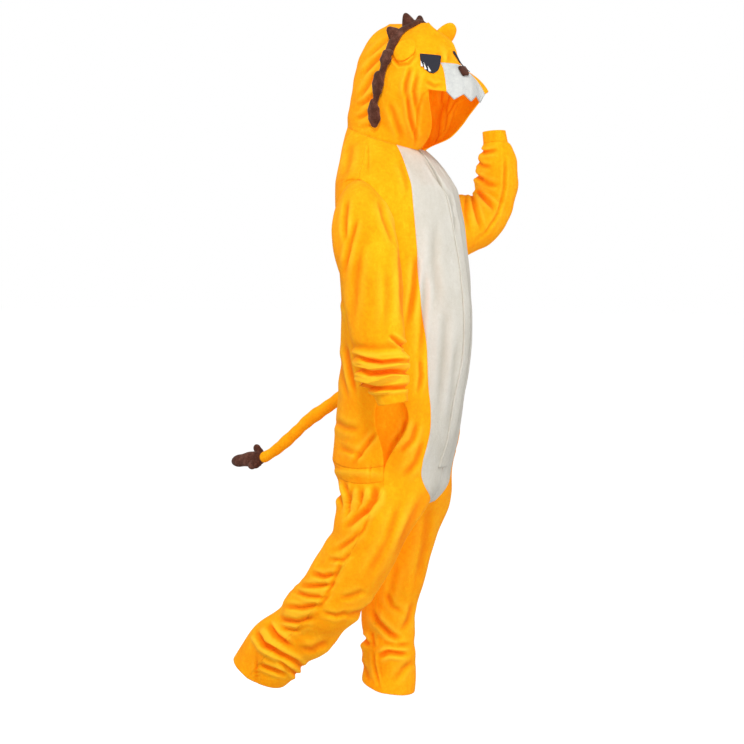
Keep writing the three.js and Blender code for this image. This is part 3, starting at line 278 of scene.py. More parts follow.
legFolds = {
    "right": [
        ([(384, 460), (382, 484), (371, 506), (362, 534), (350, 556)], 2.4, 1.8),
        ([(350, 556), (341, 563), (328, 593), (313, 620)], 3.6, 2.2),
        ([(372, 506), (356, 519), (343, 530)], 6.0, 3.4),
        ([(364, 528), (352, 540), (340, 548), (330, 552)], 3.4, 2.6),
        ([(352, 552), (342, 560), (326, 560)], 3.4, 2.4),
        ([(338, 573), (324, 577), (308, 572)], 5.0, 2.8),
        ([(333, 584), (316, 586), (299, 586)], 5.0, 2.6),
        ([(327, 598), (308, 596), (290, 590)], 4.0, 2.4),
        ([(322, 604), (302, 608), (280, 606)], 5.0, 2.8),
        ([(316, 616), (298, 622), (276, 618)], 5.5, 3.0),
        ([(312, 622), (296, 630), (278, 628)], 3.0, 2.6),
        ([(266, 622), (276, 636), (292, 648)], 8.0, 3.4),
        ([(254, 630), (264, 644), (283, 652)], 8.0, 3.2),
        ([(256, 642), (276, 652), (296, 662), (308, 674)], 7.0, 3.2),
        ([(258, 664), (274, 670), (290, 675)], 5.0, 2.6),
        ([(276, 658), (288, 668), (304, 680)], 4.5, 2.6),
        ([(257, 656), (256, 670), (256, 686)], 2.6, 1.6),
        ([(430, 480), (412, 520), (390, 566)], 2.6, 5.0),
        ([(404, 492), (388, 540), (360, 590)], 2.4, 5.0),
        ([(380, 600), (362, 612), (340, 618)], 3.2, 3.4),
        ([(366, 590), (352, 596), (336, 600)], 2.6, 3.4),
        ([(350, 612), (336, 616), (320, 612)], 3.2, 2.6),
        ([(330, 640), (312, 650), (296, 648)], 3.0, 4.0),
    ],
    "left": [
        ([(371, 608), (378, 622), (390, 634), (404, 642)], 6.0, 3.2),
        ([(373, 648), (374, 664), (380, 690)], 2.6, 1.6),
        ([(372, 630), (373, 640), (374, 650)], 3.0, 2.2),
        ([(376, 658), (388, 652), (410, 655)], 6.5, 3.0),
        ([(360, 634), (366, 642), (372, 646)], 5.0, 3.0),
        ([(380, 642), (396, 646), (414, 644)], 3.0, 3.0),
        ([(414, 660), (404, 668), (392, 684)], 2.6, 3.4),
        ([(360, 660), (366, 672), (370, 684)], 2.4, 3.0),
        ([(414, 600), (408, 620), (400, 634)], 3.0, 3.4),
        ([(430, 500), (424, 548), (412, 596)], 2.4, 5.0),
        ([(398, 560), (392, 584), (388, 606)], 2.0, 4.0),
        ([(384, 590), (392, 606), (408, 616)], 2.6, 3.0),
    ],
}
sleeveFolds = {
    "right": [
        ([(389, 188), (396, 202), (407, 218)], 3.5, 2.4),
        ([(384, 188), (392, 208), (403, 232)], 4.0, 2.6),
        ([(378, 196), (384, 220), (396, 250)], 2.6, 3.0),
        ([(348, 194), (345, 220), (346, 250)], 3.6, 2.6),
        ([(358, 214), (350, 244), (343, 280)], 4.0, 2.8),
        ([(362, 240), (356, 280), (352, 330)], 2.2, 4.4),
        ([(400, 240), (402, 280), (403, 330)], 2.6, 3.6),
        ([(386, 262), (388, 300), (384, 338)], 1.8, 4.6),
        ([(388, 334), (399, 343), (413, 351)], 4.5, 2.4),
        ([(352, 354), (366, 360), (382, 363), (398, 361), (420, 361)], 6.0, 2.2),
        ([(338, 362), (355, 369), (370, 373), (390, 371), (422, 373)], 7.0, 2.4),
        ([(344, 377), (360, 384), (376, 389), (394, 388), (422, 385)], 6.0, 2.4),
        ([(340, 349), (358, 353), (378, 355), (398, 353), (422, 356)], -2.4, 3.6),
        ([(340, 359), (358, 363), (378, 367), (398, 366), (422, 367)], -2.6, 3.2),
        ([(340, 372), (358, 378), (378, 381), (398, 379), (422, 379)], -3.2, 4.0),
    ],
    "left": [
        ([(469, 186), (475, 208), (483, 234)], 4.0, 2.6),
        ([(473, 188), (484, 198), (497, 211)], 4.6, 2.8),
        ([(472, 172), (477, 177), (484, 180)], 4.6, 2.4),
        ([(466, 190), (466, 212), (470, 236)], 3.0, 2.6),
        ([(476, 176), (488, 184), (500, 186)], 3.0, 3.0),
        ([(505, 148), (505, 170), (504, 190), (498, 214), (486, 232), (468, 246)], 2.6, 1.8),
        ([(474, 148), (484, 153), (500, 150)], 3.4, 2.4),
        ([(472, 158), (482, 166), (494, 168)], 2.8, 2.6),
    ],
}
hoodFolds = [
    ([(389, 38), (378, 48), (366, 60)], 2.4, 2.6),
    ([(386, 52), (374, 62), (360, 78)], 3.6, 2.8),
    ([(380, 70), (370, 82), (358, 100)], 3.2, 2.8),
    ([(377, 92), (368, 100), (356, 108)], 3.4, 2.4),
    ([(374, 108), (364, 116), (354, 120)], 3.0, 2.4),
    ([(378, 122), (368, 126), (356, 128)], 1.8, 2.2),
    ([(411, 66), (406, 84), (405, 100)], 3.6, 2.6),
    ([(418, 68), (414, 92), (417, 118)], 3.0, 2.6),
    ([(407, 90), (410, 118), (418, 146)], 4.2, 2.3),
    ([(388, 100), (396, 122), (404, 146)], 2.4, 3.4),
    ([(438, 42), (443, 52), (446, 66)], 3.0, 2.4),
    ([(433, 52), (437, 60), (441, 66)], 2.2, 1.8),
    ([(424, 80), (434, 86), (444, 84)], 2.4, 2.2),
    ([(392, 50), (393, 59), (399, 65), (408, 64), (414, 57), (415, 47)], 2.2, 1.8),
    ([(414, 152), (416, 132), (418, 110), (422, 96), (434, 86)], 2.2, 1.5),
]

otherSide = np.array([-1.0, 1.0, 1.0])  # Turns right into left


def smooth(values):
    # 0 to 1 with level ends
    held = np.clip(values, 0.0, 1.0)
    return held * held * (3.0 - 2.0 * held)


def nearestOn(points, line):
    # For every point, the nearest place of a line of straight runs, how far along it is, and the whole length
    line = np.array(line, float)
    start, way = line[:-1], line[1:] - line[:-1]
    squared = (way**2).sum(1)
    share = np.clip(((points[:, None] - start) * way).sum(2) / squared, 0.0, 1.0)
    foot = start + share[..., None] * way
    pick = ((points[:, None] - foot) ** 2).sum(2).argmin(1)
    rows = np.arange(len(points))
    lengths = np.sqrt(squared)
    before = np.concatenate([[0.0], np.cumsum(lengths)[:-1]])
    return foot[rows, pick], before[pick] + share[rows, pick] * lengths[pick], lengths.sum()


def picturePlace(points):
    # Where points stand in the picture, in pixels
    fromEye = points - eyePoint
    deep = fromEye @ aimWay
    across = imageSize / 2 + focal * (fromEye @ rightWay) / deep
    down = imageSize / 2 - focal * (fromEye @ topWay) / deep
    return np.stack([across, down], 1)


def foldRise(places, folds):
    # Height in metres: each fold is a trough with a softer ridge on either side, level at both ends
    rise = np.zeros(len(places))
    for line, deep, wide in folds:
        foot, run, total = nearestOn(places, line)
        gap = np.sqrt(((places - foot) ** 2).sum(1)) / (foldPlan["width"] * wide)
        ends = smooth(run / total / foldPlan["start"]) * smooth((1.0 - run / total) / foldPlan["end"])
        ridges = foldPlan["ridgeHigh"] * np.exp(-(((gap - foldPlan["ridgeAt"]) / foldPlan["ridgeWide"]) ** 2))
        rise += foldPlan["depth"] * deep * millimetre * ends * (ridges - np.exp(-(gap**2)))
    return rise


driftPlan = {"ways": 6, "bendSize": 0.6, "bendStart": 1.3, "bend": 0.7}


def drift(points, size, seed):
    # Uneven waves about size metres long: sines along fixed ways, each bent by the others
    dice = np.random.default_rng(seed)
    ways = dice.normal(size=(driftPlan["ways"], 3))
    ways = ways / np.linalg.norm(ways, axis=1)[:, None]
    phase = dice.uniform(0.0, 2.0 * np.pi, driftPlan["ways"])
    first = points @ ways.T * (2.0 * np.pi / size) + phase
    bend = np.sin(first * driftPlan["bendSize"] + driftPlan["bendStart"]).sum(1)
    return np.sin(first + driftPlan["bend"] * bend[:, None]).mean(1)


def waved(points, waves):
    # The sum of drifts, each with its height, size and seed, and a factor on the upright
    return sum(high * drift(points * np.array([1.0, 1.0, upright]), size, seed)
               for high, size, seed, upright in waves)


mergeGap = 1e-5
joinAngles = {"face": 0.9, "shape": 3.1}
cutCosine = 0.57  # Of the angle between two faces, about 55 degrees


def clothMesh(node, rounds, hold):
    # A copy of the node's wall as a grid of four-sided faces, rounded, its cut edges kept square
    mesh = nodes[node].data.copy()
    work = bmesh.new()
    work.from_mesh(mesh)
    bmesh.ops.remove_doubles(work, verts=work.verts, dist=mergeGap)
    bmesh.ops.join_triangles(work, faces=work.faces, angle_face_threshold=joinAngles["face"],
                             angle_shape_threshold=joinAngles["shape"])
    work.to_mesh(mesh)
    work.free()
    mesh.materials.clear()
    holder = bpy.data.objects.new("holder", mesh)
    bpy.context.scene.collection.objects.link(holder)
    if hold > 0.0:
        edge = mesh.attributes.new("crease_edge", "FLOAT", "EDGE")
        edge.data.foreach_set("value", hold * cutEdges(mesh))
    step = holder.modifiers.new("round", "SUBSURF")
    step.levels = step.render_levels = rounds
    bpy.context.view_layer.update()
    ready = bpy.data.meshes.new_from_object(holder.evaluated_get(bpy.context.evaluated_depsgraph_get()))
    bpy.data.objects.remove(holder)
    return ready


def cutEdges(mesh):
    # 1 on each edge whose two faces meet at a sharp angle, else 0
    normals = np.zeros(len(mesh.polygons) * 3)
    mesh.polygons.foreach_get("normal", normals)
    normals = normals.reshape(-1, 3)
    edgeOfLoop = np.zeros(len(mesh.loops), int)
    mesh.loops.foreach_get("edge_index", edgeOfLoop)
    sizes = np.zeros(len(mesh.polygons), int)
    mesh.polygons.foreach_get("loop_total", sizes)
    faceOfLoop = np.repeat(np.arange(len(mesh.polygons)), sizes)
    order = np.argsort(edgeOfLoop, kind="stable")
    edges, first, count = np.unique(edgeOfLoop[order], return_index=True, return_counts=True)
    two = count == 2
    before = faceOfLoop[order[first[two]]]
    after = faceOfLoop[order[first[two] + 1]]
    flags = np.zeros(len(mesh.edges))
    flags[edges[two]] = (normals[before] * normals[after]).sum(1) < cutCosine
    return flags


def readPoints(mesh):
    points = np.zeros(len(mesh.vertices) * 3)
    mesh.vertices.foreach_get("co", points)
    return points.reshape(-1, 3)


# The neck seam's tilted plane, and the armhole's oval; folds die out within reach of either
neckSeam = {"height": 0.012, "back": 0.037, "slope": 0.30, "reach": 0.045}
armhole = {"height": -0.2, "halfDeep": 0.066, "halfHigh": 0.1, "reach": 0.4, "outside": 0.11}


def neckFade(points):
    # 0 at the neck seam, 1 some way off it on either side
    height = points[:, 2] - (neckSeam["height"] + neckSeam["slope"] * (points[:, 1] - neckSeam["back"]))
    return smooth(np.abs(height) / neckSeam["reach"])


def armholeFade(points):
    # 0 at the armhole's edge, 1 some way off it
    ring = np.sqrt((points[:, 1] / armhole["halfDeep"]) ** 2
                   + ((points[:, 2] - armhole["height"]) / armhole["halfHigh"]) ** 2)
    fade = smooth(np.abs(ring - 1.0) / armhole["reach"])
    return np.where(np.abs(points[:, 0]) > armhole["outside"], fade, 1.0)


def away(points, line):
    # The way from a line straight out to each point, where it starts, and how far along the line that is
    foot, run, _ = nearestOn(points, line)
    out = points - foot
    return out / np.maximum(np.linalg.norm(out, axis=1), 1e-6)[:, None], foot, run


# Body and legs: where the left side's folds stand against mirrored ones, how far folds wander and are carried
# across and down on the hidden side, in pixels a metre behind the middle, and where they grow calm
bodyPlan = {
    "mirrorStep": (4.0, 11.0), "mirrorOver": 0.06,
    "wander": 110.0, "wanderDrifts": ((0.23, 21), (0.19, 22)), "carry": (0.0, 70.0), "legCarry": (30.0, 90.0),
    "bodyTo": {"from": -0.86, "over": 0.08}, "legsFrom": {"from": -0.80, "over": 0.10},
    "crotch": {"wide": 0.04, "from": -0.76, "over": 0.06}, "calm": {"from": 0.04, "over": 0.18, "share": 0.5},
    "waves": ((0.0016, 0.16, 3, 1.0), (0.0010, 0.07, 8, 0.6)),
}


def below(points, stop):
    # 0 above a height, 1 some way under it
    return smooth((stop["from"] - points[:, 2]) / stop["over"])


def bodyShift(points, side):
    # How folds move the cloth of the body and legs, and the folds' own height for their painted shade and
    # highlight
    out, foot, _ = away(points, torsoLine + legLines[side])
    behind = np.maximum((points - foot) @ aimWay, 0.0)
    if side == "right":
        places = picturePlace(points)
    else:
        places = picturePlace(points * otherSide)
        places = places + smooth(points[:, :1] / bodyPlan["mirrorOver"]) * np.array(bodyPlan["mirrorStep"])
    uneven = np.stack([drift(points, size, seed) for size, seed in bodyPlan["wanderDrifts"]], 1)
    places = places + bodyPlan["wander"] * behind[:, None] * uneven
    places = places + behind[:, None] * np.array(bodyPlan["carry"])
    rise = foldRise(places, bodyFolds) * (1.0 - below(points, bodyPlan["bodyTo"]))
    legPlaces = picturePlace(points) + behind[:, None] * np.array(bodyPlan["legCarry"])
    rise += foldRise(legPlaces, legFolds[side]) * below(points, bodyPlan["legsFrom"])
    crotch, calm = bodyPlan["crotch"], bodyPlan["calm"]
    crotch = 1.0 - (1.0 - smooth(np.abs(points[:, 0]) / crotch["wide"])) * below(points, crotch)
    calm = 1.0 - calm["share"] * smooth((behind - calm["from"]) / calm["over"])
    fade = neckFade(points) * armholeFade(points) * crotch * calm
    return out * ((rise + waved(points, bodyPlan["waves"])) * fade)[:, None], rise * fade * calm


sleevePlan = {"carry": (30.0, 80.0), "fromSeam": 0.05,
              "waves": ((0.0016, 0.11, 5, 1.0), (0.0008, 0.05, 6, 1.0))}


def sleeveShift(points, side):
    # The same for a sleeve, from nothing at the armhole
    out, foot, run = away(points, sleeveLines[side])
    behind = np.maximum((points - foot) @ aimWay, 0.0)
    places = picturePlace(points) + behind[:, None] * np.array(sleevePlan["carry"])
    rise = foldRise(places, sleeveFolds[side])
    fade = smooth(run / sleevePlan["fromSeam"])
    return out * ((rise + waved(points, sleevePlan["waves"])) * fade)[:, None], rise * fade


# Hood: folds die out this near its other half. The far brow is full under its filling: where in the picture,
# how wide, how far out in metres, and how much of that goes upwards
hoodPlan = {"seamCalm": 0.03, "waves": ((0.0012, 0.09, 11, 1.0), (0.0006, 0.04, 12, 1.0))}
browPlan = {"at": (448.0, 42.0), "reach": (16.0, 19.0), "rise": 0.027, "upward": 0.25}


def halfTree(side):
    held = bmesh.new()
    for name in ("hood_face_", "hood_rear_"):
        held.from_mesh(nodes[name + side].data)
    return BVHTree.FromBMesh(held)


otherHalf = {"right": halfTree("left"), "left": halfTree("right")}


def hoodShift(points, side):
    # The same for the hood, and the brow's fulness, a bell round its middle in the picture
    out, _, _ = away(points, hoodLine)
    places = picturePlace(points if side == "right" else points * otherSide)
    apart = np.array([otherHalf[side].find_nearest(Vector(point))[3] for point in points])
    rise = foldRise(places, hoodFolds) * smooth(apart / hoodPlan["seamCalm"])
    far = ((picturePlace(points) - browPlan["at"]) / browPlan["reach"]) ** 2
    brow = (browPlan["rise"] * np.exp(-far.sum(1)))[:, None] * (rightWay + browPlan["upward"] * topWay)
    return out * ((rise + waved(points, hoodPlan["waves"])) * neckFade(points))[:, None] + brow, rise


shifts = {"body": bodyShift, "sleeve": sleeveShift, "hood": hoodShift}
finishes = {"orange_fleece": orangeFleece, "cream_fleece": creamFleece, "pale_muzzle_plush": paleMuzzle,
            "brown_plush": brownPlush}
orange, cream, muzzlePlush, brown = finishes

# Every cloth piece: which folds it takes, its slot, the width, length and area it was cut to, in metres, and
# how it is held
clothPieces = {
    "front": ("body", orange, (0.34, 1.46), 0.27, "hung"),
    "belly": ("body", cream, (0.15, 0.92), 0.11, "hung"),
    "back_upper": ("body", orange, (0.33, 0.84), 0.235, "hung"),
    "seat_band": ("body", orange, (0.33, 0.06), 0.0150, "gathered"),
    "seat_leg": ("body", orange, (0.36, 0.72), 0.19, "gathered"),
    "pocket_bag": ("body", orange, (0.20, 0.26), 0.040, "hung"),
    "sleeve": ("sleeve", orange, (0.50, 0.56), 0.20, "gathered"),
    "cuff": ("sleeve", orange, (0.24, 0.03), 0.0070, "stretched"),
    "hood_face": ("hood", orange, (0.26, 0.34), 0.055, "draped"),
    "hood_rear": ("hood", orange, (0.24, 0.38), 0.062, "draped"),
}
# Rounds of smoothing, how far sewn edges are brought together, and the fold height at which the painted shade
# and highlight are full
clothPlan = {"rounds": 3, "hiddenRounds": 2, "seamFill": 0.0003, "fullShade": 0.005}


def addPiece(name, mesh, material):
    # A smooth piece of its own mesh, worn on the one body
    mesh.polygons.foreach_set("use_smooth", np.ones(len(mesh.polygons), bool))
    mesh.materials.append(material)
    piece = bpy.data.objects.new(name, mesh)
    bpy.context.scene.collection.objects.link(piece)
    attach(piece, root)
    return piece


def soften(piece):
    step = piece.modifiers.new("soften", "SUBSURF")
    step.levels = step.render_levels = 1


def dress(node, shift, side, slot, rounds=clothPlan["rounds"], hold=1.0):
    mesh = clothMesh(node, rounds, hold)
    points = readPoints(mesh)
    if shift is not None:
        move, rise = shift(points, side)
        outward = np.zeros(len(points) * 3)
        mesh.vertex_normals.foreach_get("vector", outward)
        points = points + move + clothPlan["seamFill"] * outward.reshape(-1, 3)
        # The fold height, kept for the painted shade of troughs and painted highlight of ridges
        fold = mesh.attributes.new("fold", "FLOAT", "POINT")
        fold.data.foreach_set("value", np.clip(rise / clothPlan["fullShade"], -1.0, 1.0))
    mesh.vertices.foreach_set("co", points.ravel())
    mesh.update()
    piece = addPiece(node + "_cloth", mesh, finishes[slot])
    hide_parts(node)
    return piece


for name, (folds, slot, flat, area, held) in clothPieces.items():
    for side in ("right", "left"):
        rounds = clothPlan["hiddenRounds" if name == "pocket_bag" else "rounds"]
        piece = dress(f"{name}_{side}", shifts[folds], side, slot, rounds=rounds)
    print(name, "dressed")

placket = dress("placket", bodyShift, "right", cream)
muzzle = dress("muzzle", hoodShift, "right", muzzlePlush)
print("placket and muzzle dressed")

# What lies on the hood is seated on the dressed cloth
depsgraph = bpy.context.evaluated_depsgraph_get()
hoodTrees = [BVHTree.FromObject(bpy.data.objects[name + "_cloth"], depsgraph)
             for name in ("hood_face_right", "hood_face_left", "hood_rear_right", "hood_rear_left", "muzzle")]
# A place beside the hood is brought in by small steps, in pixels; rays start this far outside, in metres; a
# face that leans further than this from the ray is a cut edge
seatPlan = {"inwardStep": np.array([-0.5, 0.4]), "middle": Vector((0, 0, 0.12)), "outside": 0.08,
            "facing": 0.5}


def firstHits(place, way):
    hits = [tree.ray_cast(Vector(place), Vector(way)) for tree in hoodTrees]
    return [hit for hit in hits if hit[0] is not None]


def nearHits(place):
    return [tree.find_nearest(Vector(place)) for tree in hoodTrees]


def nearest(hits):
    return min(hits, key=lambda hit: hit[3])


def castOn(places):
    # Where the sight line through each place first meets the hood, and the way out of the cloth there
    found, outward = [], []
    for place in places.reshape(-1, 2):
        hits = []
        while not hits:
            across, down = (place[0] - imageSize / 2) / focal, (place[1] - imageSize / 2) / focal
            way = aimWay + across * rightWay - down * topWay
            way = Vector(way / np.linalg.norm(way))
            hits = firstHits(eyePoint, way)
            place = place + seatPlan["inwardStep"]
        best = nearest(hits)
        found.append(best[0])
        outward.append(best[1] if best[1].dot(way) < 0 else -best[1])
    return np.array(found), np.array(outward)


def nearHood(points):
    # The nearest place of the hood to each point, and the way out of the cloth there
    found, outward = [], []
    for point in points:
        best = nearest(nearHits(point))
        found.append(best[0])
        outward.append(best[1] if best[1].dot(Vector(point) - seatPlan["middle"]) > 0 else -best[1])
    return np.array(found), np.array(outward)


def onHood(points):
    # The hood's outer face, met on the way in towards its centre line, and the way out of it there
    ways, _, _ = away(points, hoodLine)
    found, outward = [], []
    for point, way in zip(points + seatPlan["outside"] * ways, ways):
        best = nearest(firstHits(point, -way) or nearHits(point))
        found.append(best[0])
        outward.append(best[1] if best[1].dot(Vector(way)) > seatPlan["facing"] else Vector(way))
    return np.array(found), np.array(outward)


# Near ear: its node's form, rounded and brought back to its full size
nearEar = dress("ear_right", None, "right", orange, rounds=2, hold=0.0)
points = readPoints(nearEar.data)
low, high = (np.array(corner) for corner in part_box("ear_right"))
small, large = points.min(0), points.max(0)
grown = low + (points - small) * (high - low) / (large - small)
nearEar.data.vertices.foreach_set("co", grown.ravel())
nearEar.data.update()
print("near ear dressed")

# The hood's middle plane is turned a little about the upright, in degrees; the far eye stands a small step
# off its mirrored place, in metres
facePlan = {"turn": -10.0, "farEyeStep": np.array([-0.0230, -0.0120, 0.0150])}


def mirrorHood(points):
    # Over to the other half of the face: turned back, mirrored and turned again
    turn = np.radians(facePlan["turn"])
    spin = np.array([[np.cos(turn), -np.sin(turn), 0], [np.sin(turn), np.cos(turn), 0], [0, 0, 1]])
    return (points @ spin * otherSide) @ spin.T


def gridFaces(rows, cols):
    # Four-sided faces between neighbouring rows and columns of a grid of points
    start = (np.arange(rows - 1)[:, None] * cols + np.arange(cols - 1)).ravel()
    return np.stack([start, start + cols, start + cols + 1, start + 1], 1)


def patch(name, left, right, plan, material, side="right"):
    # A patch laid out in the picture between two side lines, both read evenly from top to foot, then put on
    # the cloth along the sight lines and lifted a little
    rows, cols = plan["rows"], plan["cols"]
    share = np.linspace(0.0, 1.0, rows)
    steps = np.linspace(0.0, 1.0, len(left))
    first = np.stack([np.interp(share, steps, np.array(left)[:, i]) for i in (0, 1)], 1)
    last = np.stack([np.interp(share, steps, np.array(right)[:, i]) for i in (0, 1)], 1)
    across = np.linspace(0.0, 1.0, cols)[None, :, None]
    places = first[:, None] * (1.0 - across) + last[:, None] * across
    points, outward = castOn(places)
    if side == "left":
        points, outward = nearHood(mirrorHood(points) + facePlan["farEyeStep"])
    points = points + outward * plan["lift"]
    faces = gridFaces(rows, cols)
    corner, below, beside = points[faces[:, 0]], points[faces[:, 1]], points[faces[:, 2]]
    if (np.cross(below - corner, beside - corner) * outward[faces[:, 0]]).sum() < 0:
        faces = faces[:, ::-1]
    mesh = bpy.data.meshes.new(name)
    mesh.from_pydata(points.tolist(), [], faces.tolist())
    piece = addPiece(name, mesh, material)
    wall = piece.modifiers.new("thick", "SOLIDIFY")
    wall.thickness = plan["thick"]
    wall.offset = 0.0
    soften(piece)
    return piece


def felt(name, dark, light, scale, strength, distance, rough=0.8, detail=3.0, grit=0.6):
    finish = Finish(name)
    grain = finish.noise(scale, detail, grit)
    finish.set(Base_Color=finish.blend(grain, dark, light), Roughness=rough)
    finish.bump(grain, strength, distance)
    return finish


eyeFelt = felt("eyeFelt", tone(30, 30, 38), tone(58, 58, 68), 900.0, 0.3, 0.0008)
eyeFelt.set(Specular_IOR_Level=0.2)
gleamFelt = felt("gleamFelt", tone(222, 220, 218), tone(246, 244, 240), 800.0, 0.25, 0.0006)
eyePlan = {
    "left": [(419.4, 53.8), (419.8, 58.6), (421.2, 64.0), (424.6, 69.6), (429.6, 73.4)],
    "right": [(442.0, 56.0), (440.8, 61.2), (440.0, 66.4), (438.2, 71.0), (433.6, 74.0)],
    "rows": 9, "cols": 9, "lift": 0.0022, "thick": 0.0014,
}
# Lashes: the foot and the tip of each, and the width of a foot
lashPlan = {
    "feet": [((422.2, 67.4), (420.6, 61.4)), ((425.8, 70.4), (423.6, 63.0)), ((430.0, 72.4), (427.6, 66.4))],
    "width": 2.6, "rows": 6, "cols": 4, "lift": 0.0034, "thick": 0.0008,
}
for side in ("right", "left"):
    eye = patch(f"eye_{side}_felt", eyePlan["left"], eyePlan["right"], eyePlan, eyeFelt.material,
                side)
    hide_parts(f"eye_{side}")
    for number, (foot, tip) in enumerate(lashPlan["feet"]):
        half = lashPlan["width"] / 2
        left, right = [tip, (foot[0] - half, foot[1])], [tip, (foot[0] + half, foot[1])]
        lash = patch(f"lash_{side}_{number}", left, right, lashPlan, gleamFelt.material, side)

# Nose: a small padded patch, a rounded four-sided shape leaning with the muzzle
nosePlan = {"left": [(457.2, 68.0), (459.4, 72.0), (462.0, 76.6)],
            "right": [(463.4, 68.2), (466.4, 72.2), (467.8, 76.4)],
            "rows": 6, "cols": 6, "lift": 0.0045, "thick": 0.0085}
nose = patch("nose_pad", nosePlan["left"], nosePlan["right"], nosePlan, brownPlush)
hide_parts("nose")
print("eyes and nose made")


def stuffed(name, middle, across, wide, high, slot, around=16):
    # An oval carried along a middle line: across and up of the line, its half sizes given row by row
    way = np.gradient(middle, axis=0)
    way = way / np.linalg.norm(way, axis=1)[:, None]
    across = across - (across * way).sum(1)[:, None] * way
    across = across / np.linalg.norm(across, axis=1)[:, None]
    up = np.cross(across, way)
    turns = np.linspace(0.0, 2.0 * np.pi, around, endpoint=False)
    tube = middle[:, None] + (wide[:, None] * across)[:, None] * np.cos(turns)[None, :, None]
    tube = tube + (high[:, None] * up)[:, None] * np.sin(turns)[None, :, None]
    rows = np.arange(len(middle) - 1)[:, None] * around
    here, after = np.arange(around), (np.arange(around) + 1) % around
    past = rows + around
    faces = np.stack([rows + here, past + here, past + after, rows + after], 2).reshape(-1, 4)
    mesh = bpy.data.meshes.new(name)
    mesh.from_pydata(tube.reshape(-1, 3).tolist(), [], faces.tolist())
    work = bmesh.new()
    work.from_mesh(mesh)
    bmesh.ops.remove_doubles(work, verts=work.verts, dist=mergeGap)
    bmesh.ops.recalc_face_normals(work, faces=work.faces)
    work.to_mesh(mesh)
    work.free()
    piece = addPiece(name, mesh, finishes[slot])
    soften(piece)
    return piece


def through(stops, count, blur):
    # Even steps along a line of stops, its corners smoothed by a moving mean
    stops = np.array(stops, float)
    spacing = np.concatenate([[0.0], np.cumsum(np.linalg.norm(np.diff(stops, axis=0), axis=1))])
    along = np.linspace(0.0, spacing[-1], count)
    line = np.stack([np.interp(along, spacing, stops[:, i]) for i in range(3)], 1)
    return blurred(line, blur), along


def blurred(line, blur, reach=6):
    # A moving mean with a bell's weights; past both ends the line is carried on, turned about
    weights = np.exp(-((np.arange(-reach, reach + 1) / blur) ** 2))
    weights = weights / weights.sum()
    held = np.concatenate([2 * line[:1] - line[reach:0:-1], line, 2 * line[-1:] - line[-2:-reach - 2:-1]])
    return np.stack([np.convolve(held[:, i], weights, "valid") for i in range(line.shape[1])], 1)


def roundEnds(count, power):
    # 1 along the middle, round to 0 at both ends; a higher power is blunter
    share = np.abs(2.0 * np.linspace(0.0, 1.0, count) - 1.0)
    return np.sqrt(np.clip(1.0 - share**power, 0.0, 1.0))


def lumpy(along, lumps):
    # Filling that is not quite even: a factor near 1, with sines of a size, a length and a start
    grown = np.ones(len(along))
    for size, length, start in lumps:
        grown = grown + size * np.sin(along / length + start)
    return grown


# Mane band: a plush strip along the seam behind the brow, from which the tufts stand
bandPlan = {"order": ("08", "07", "06", "04", "02", "01", "03", "05", "09", "10", "11"), "halfWide": 0.0115,
            "halfHigh": 0.007, "lift": 0.0070, "steps": 120, "around": 14, "taper": 0.05, "least": 0.3,
            "power": 24.0, "lumps": ((0.12, 0.021, 0.0), (0.06, 0.0091, 1.0))}
maneBlur = 3.0
stops = np.array([np.array(sum(map(Vector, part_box("mane_tuft_" + number)), Vector()) / 2)
                  for number in bandPlan["order"]])
stops, _ = nearHood(stops)
bandLine, along = through(stops, bandPlan["steps"], maneBlur)
bandLine, bandUp = onHood(bandLine)
bandLine, bandUp = blurred(bandLine, maneBlur), blurred(bandUp, maneBlur)
bandWay = np.gradient(bandLine, axis=0)
bandWay = bandWay / np.linalg.norm(bandWay, axis=1)[:, None]
bandStep = along[1] - along[0]
lumps = lumpy(along, bandPlan["lumps"])
ends = np.clip(np.minimum(along, along[-1] - along) / bandPlan["taper"], 0.0, 1.0)
ends = bandPlan["least"] + (1.0 - bandPlan["least"]) * ends
ends = roundEnds(bandPlan["steps"], bandPlan["power"]) * ends
stuffed("mane_band", bandLine + bandUp * bandPlan["lift"], np.cross(bandWay, bandUp),
        bandPlan["halfWide"] * ends * lumps, bandPlan["halfHigh"] * ends * lumps, brown,
        around=bandPlan["around"])


def bandNear(place):
    return np.linalg.norm(bandLine - place, axis=1).argmin()


def bandSide(place, count):
    # The band's own way at its nearest place, for every row of a piece
    return np.repeat(bandWay[bandNear(place)][None], count, 0)


# Mane lobes: leaves that hang along the band on both sides, the lowest ones pointed
lobePlan = {"halfWide": 0.0165, "halfHigh": 0.0088, "steps": 22, "around": 14, "lift": 0.0084, "power": 3.2,
            "wave": 0.07, "waveSize": 13.0, "before": -0.06, "past": 1.06, "tenth": 0.1,
            "lowest": ("08", "11"), "lowestPower": 2.0, "lowestPast": 1.4}
for number in ("06", "07", "08", "09", "10", "11"):
    points = readPoints(nodes["mane_tuft_" + number].data)
    height = points[:, 2]
    start = points[height > np.quantile(height, 1.0 - lobePlan["tenth"])].mean(0)
    end = points[height < np.quantile(height, lobePlan["tenth"])].mean(0)
    past, power = lobePlan["past"], lobePlan["power"]
    if number in lobePlan["lowest"]:
        past, power = lobePlan["lowestPast"], lobePlan["lowestPower"]
    share = np.linspace(lobePlan["before"], past, lobePlan["steps"])
    line, outward = onHood(start + share[:, None] * (end - start))
    line, outward = blurred(line, maneBlur), blurred(outward, maneBlur)
    leaf = roundEnds(lobePlan["steps"], power)
    leaf = leaf * (1.0 + lobePlan["wave"] * np.sin(share * lobePlan["waveSize"] + int(number)))
    side = np.cross(np.gradient(line, axis=0), outward)
    wide, high = lobePlan["halfWide"] * leaf, lobePlan["halfHigh"] * leaf
    piece = stuffed("mane_lobe_" + number, line + lobePlan["lift"] * outward, side, wide, high, brown,
                    around=lobePlan["around"])
    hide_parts("mane_tuft_" + number)

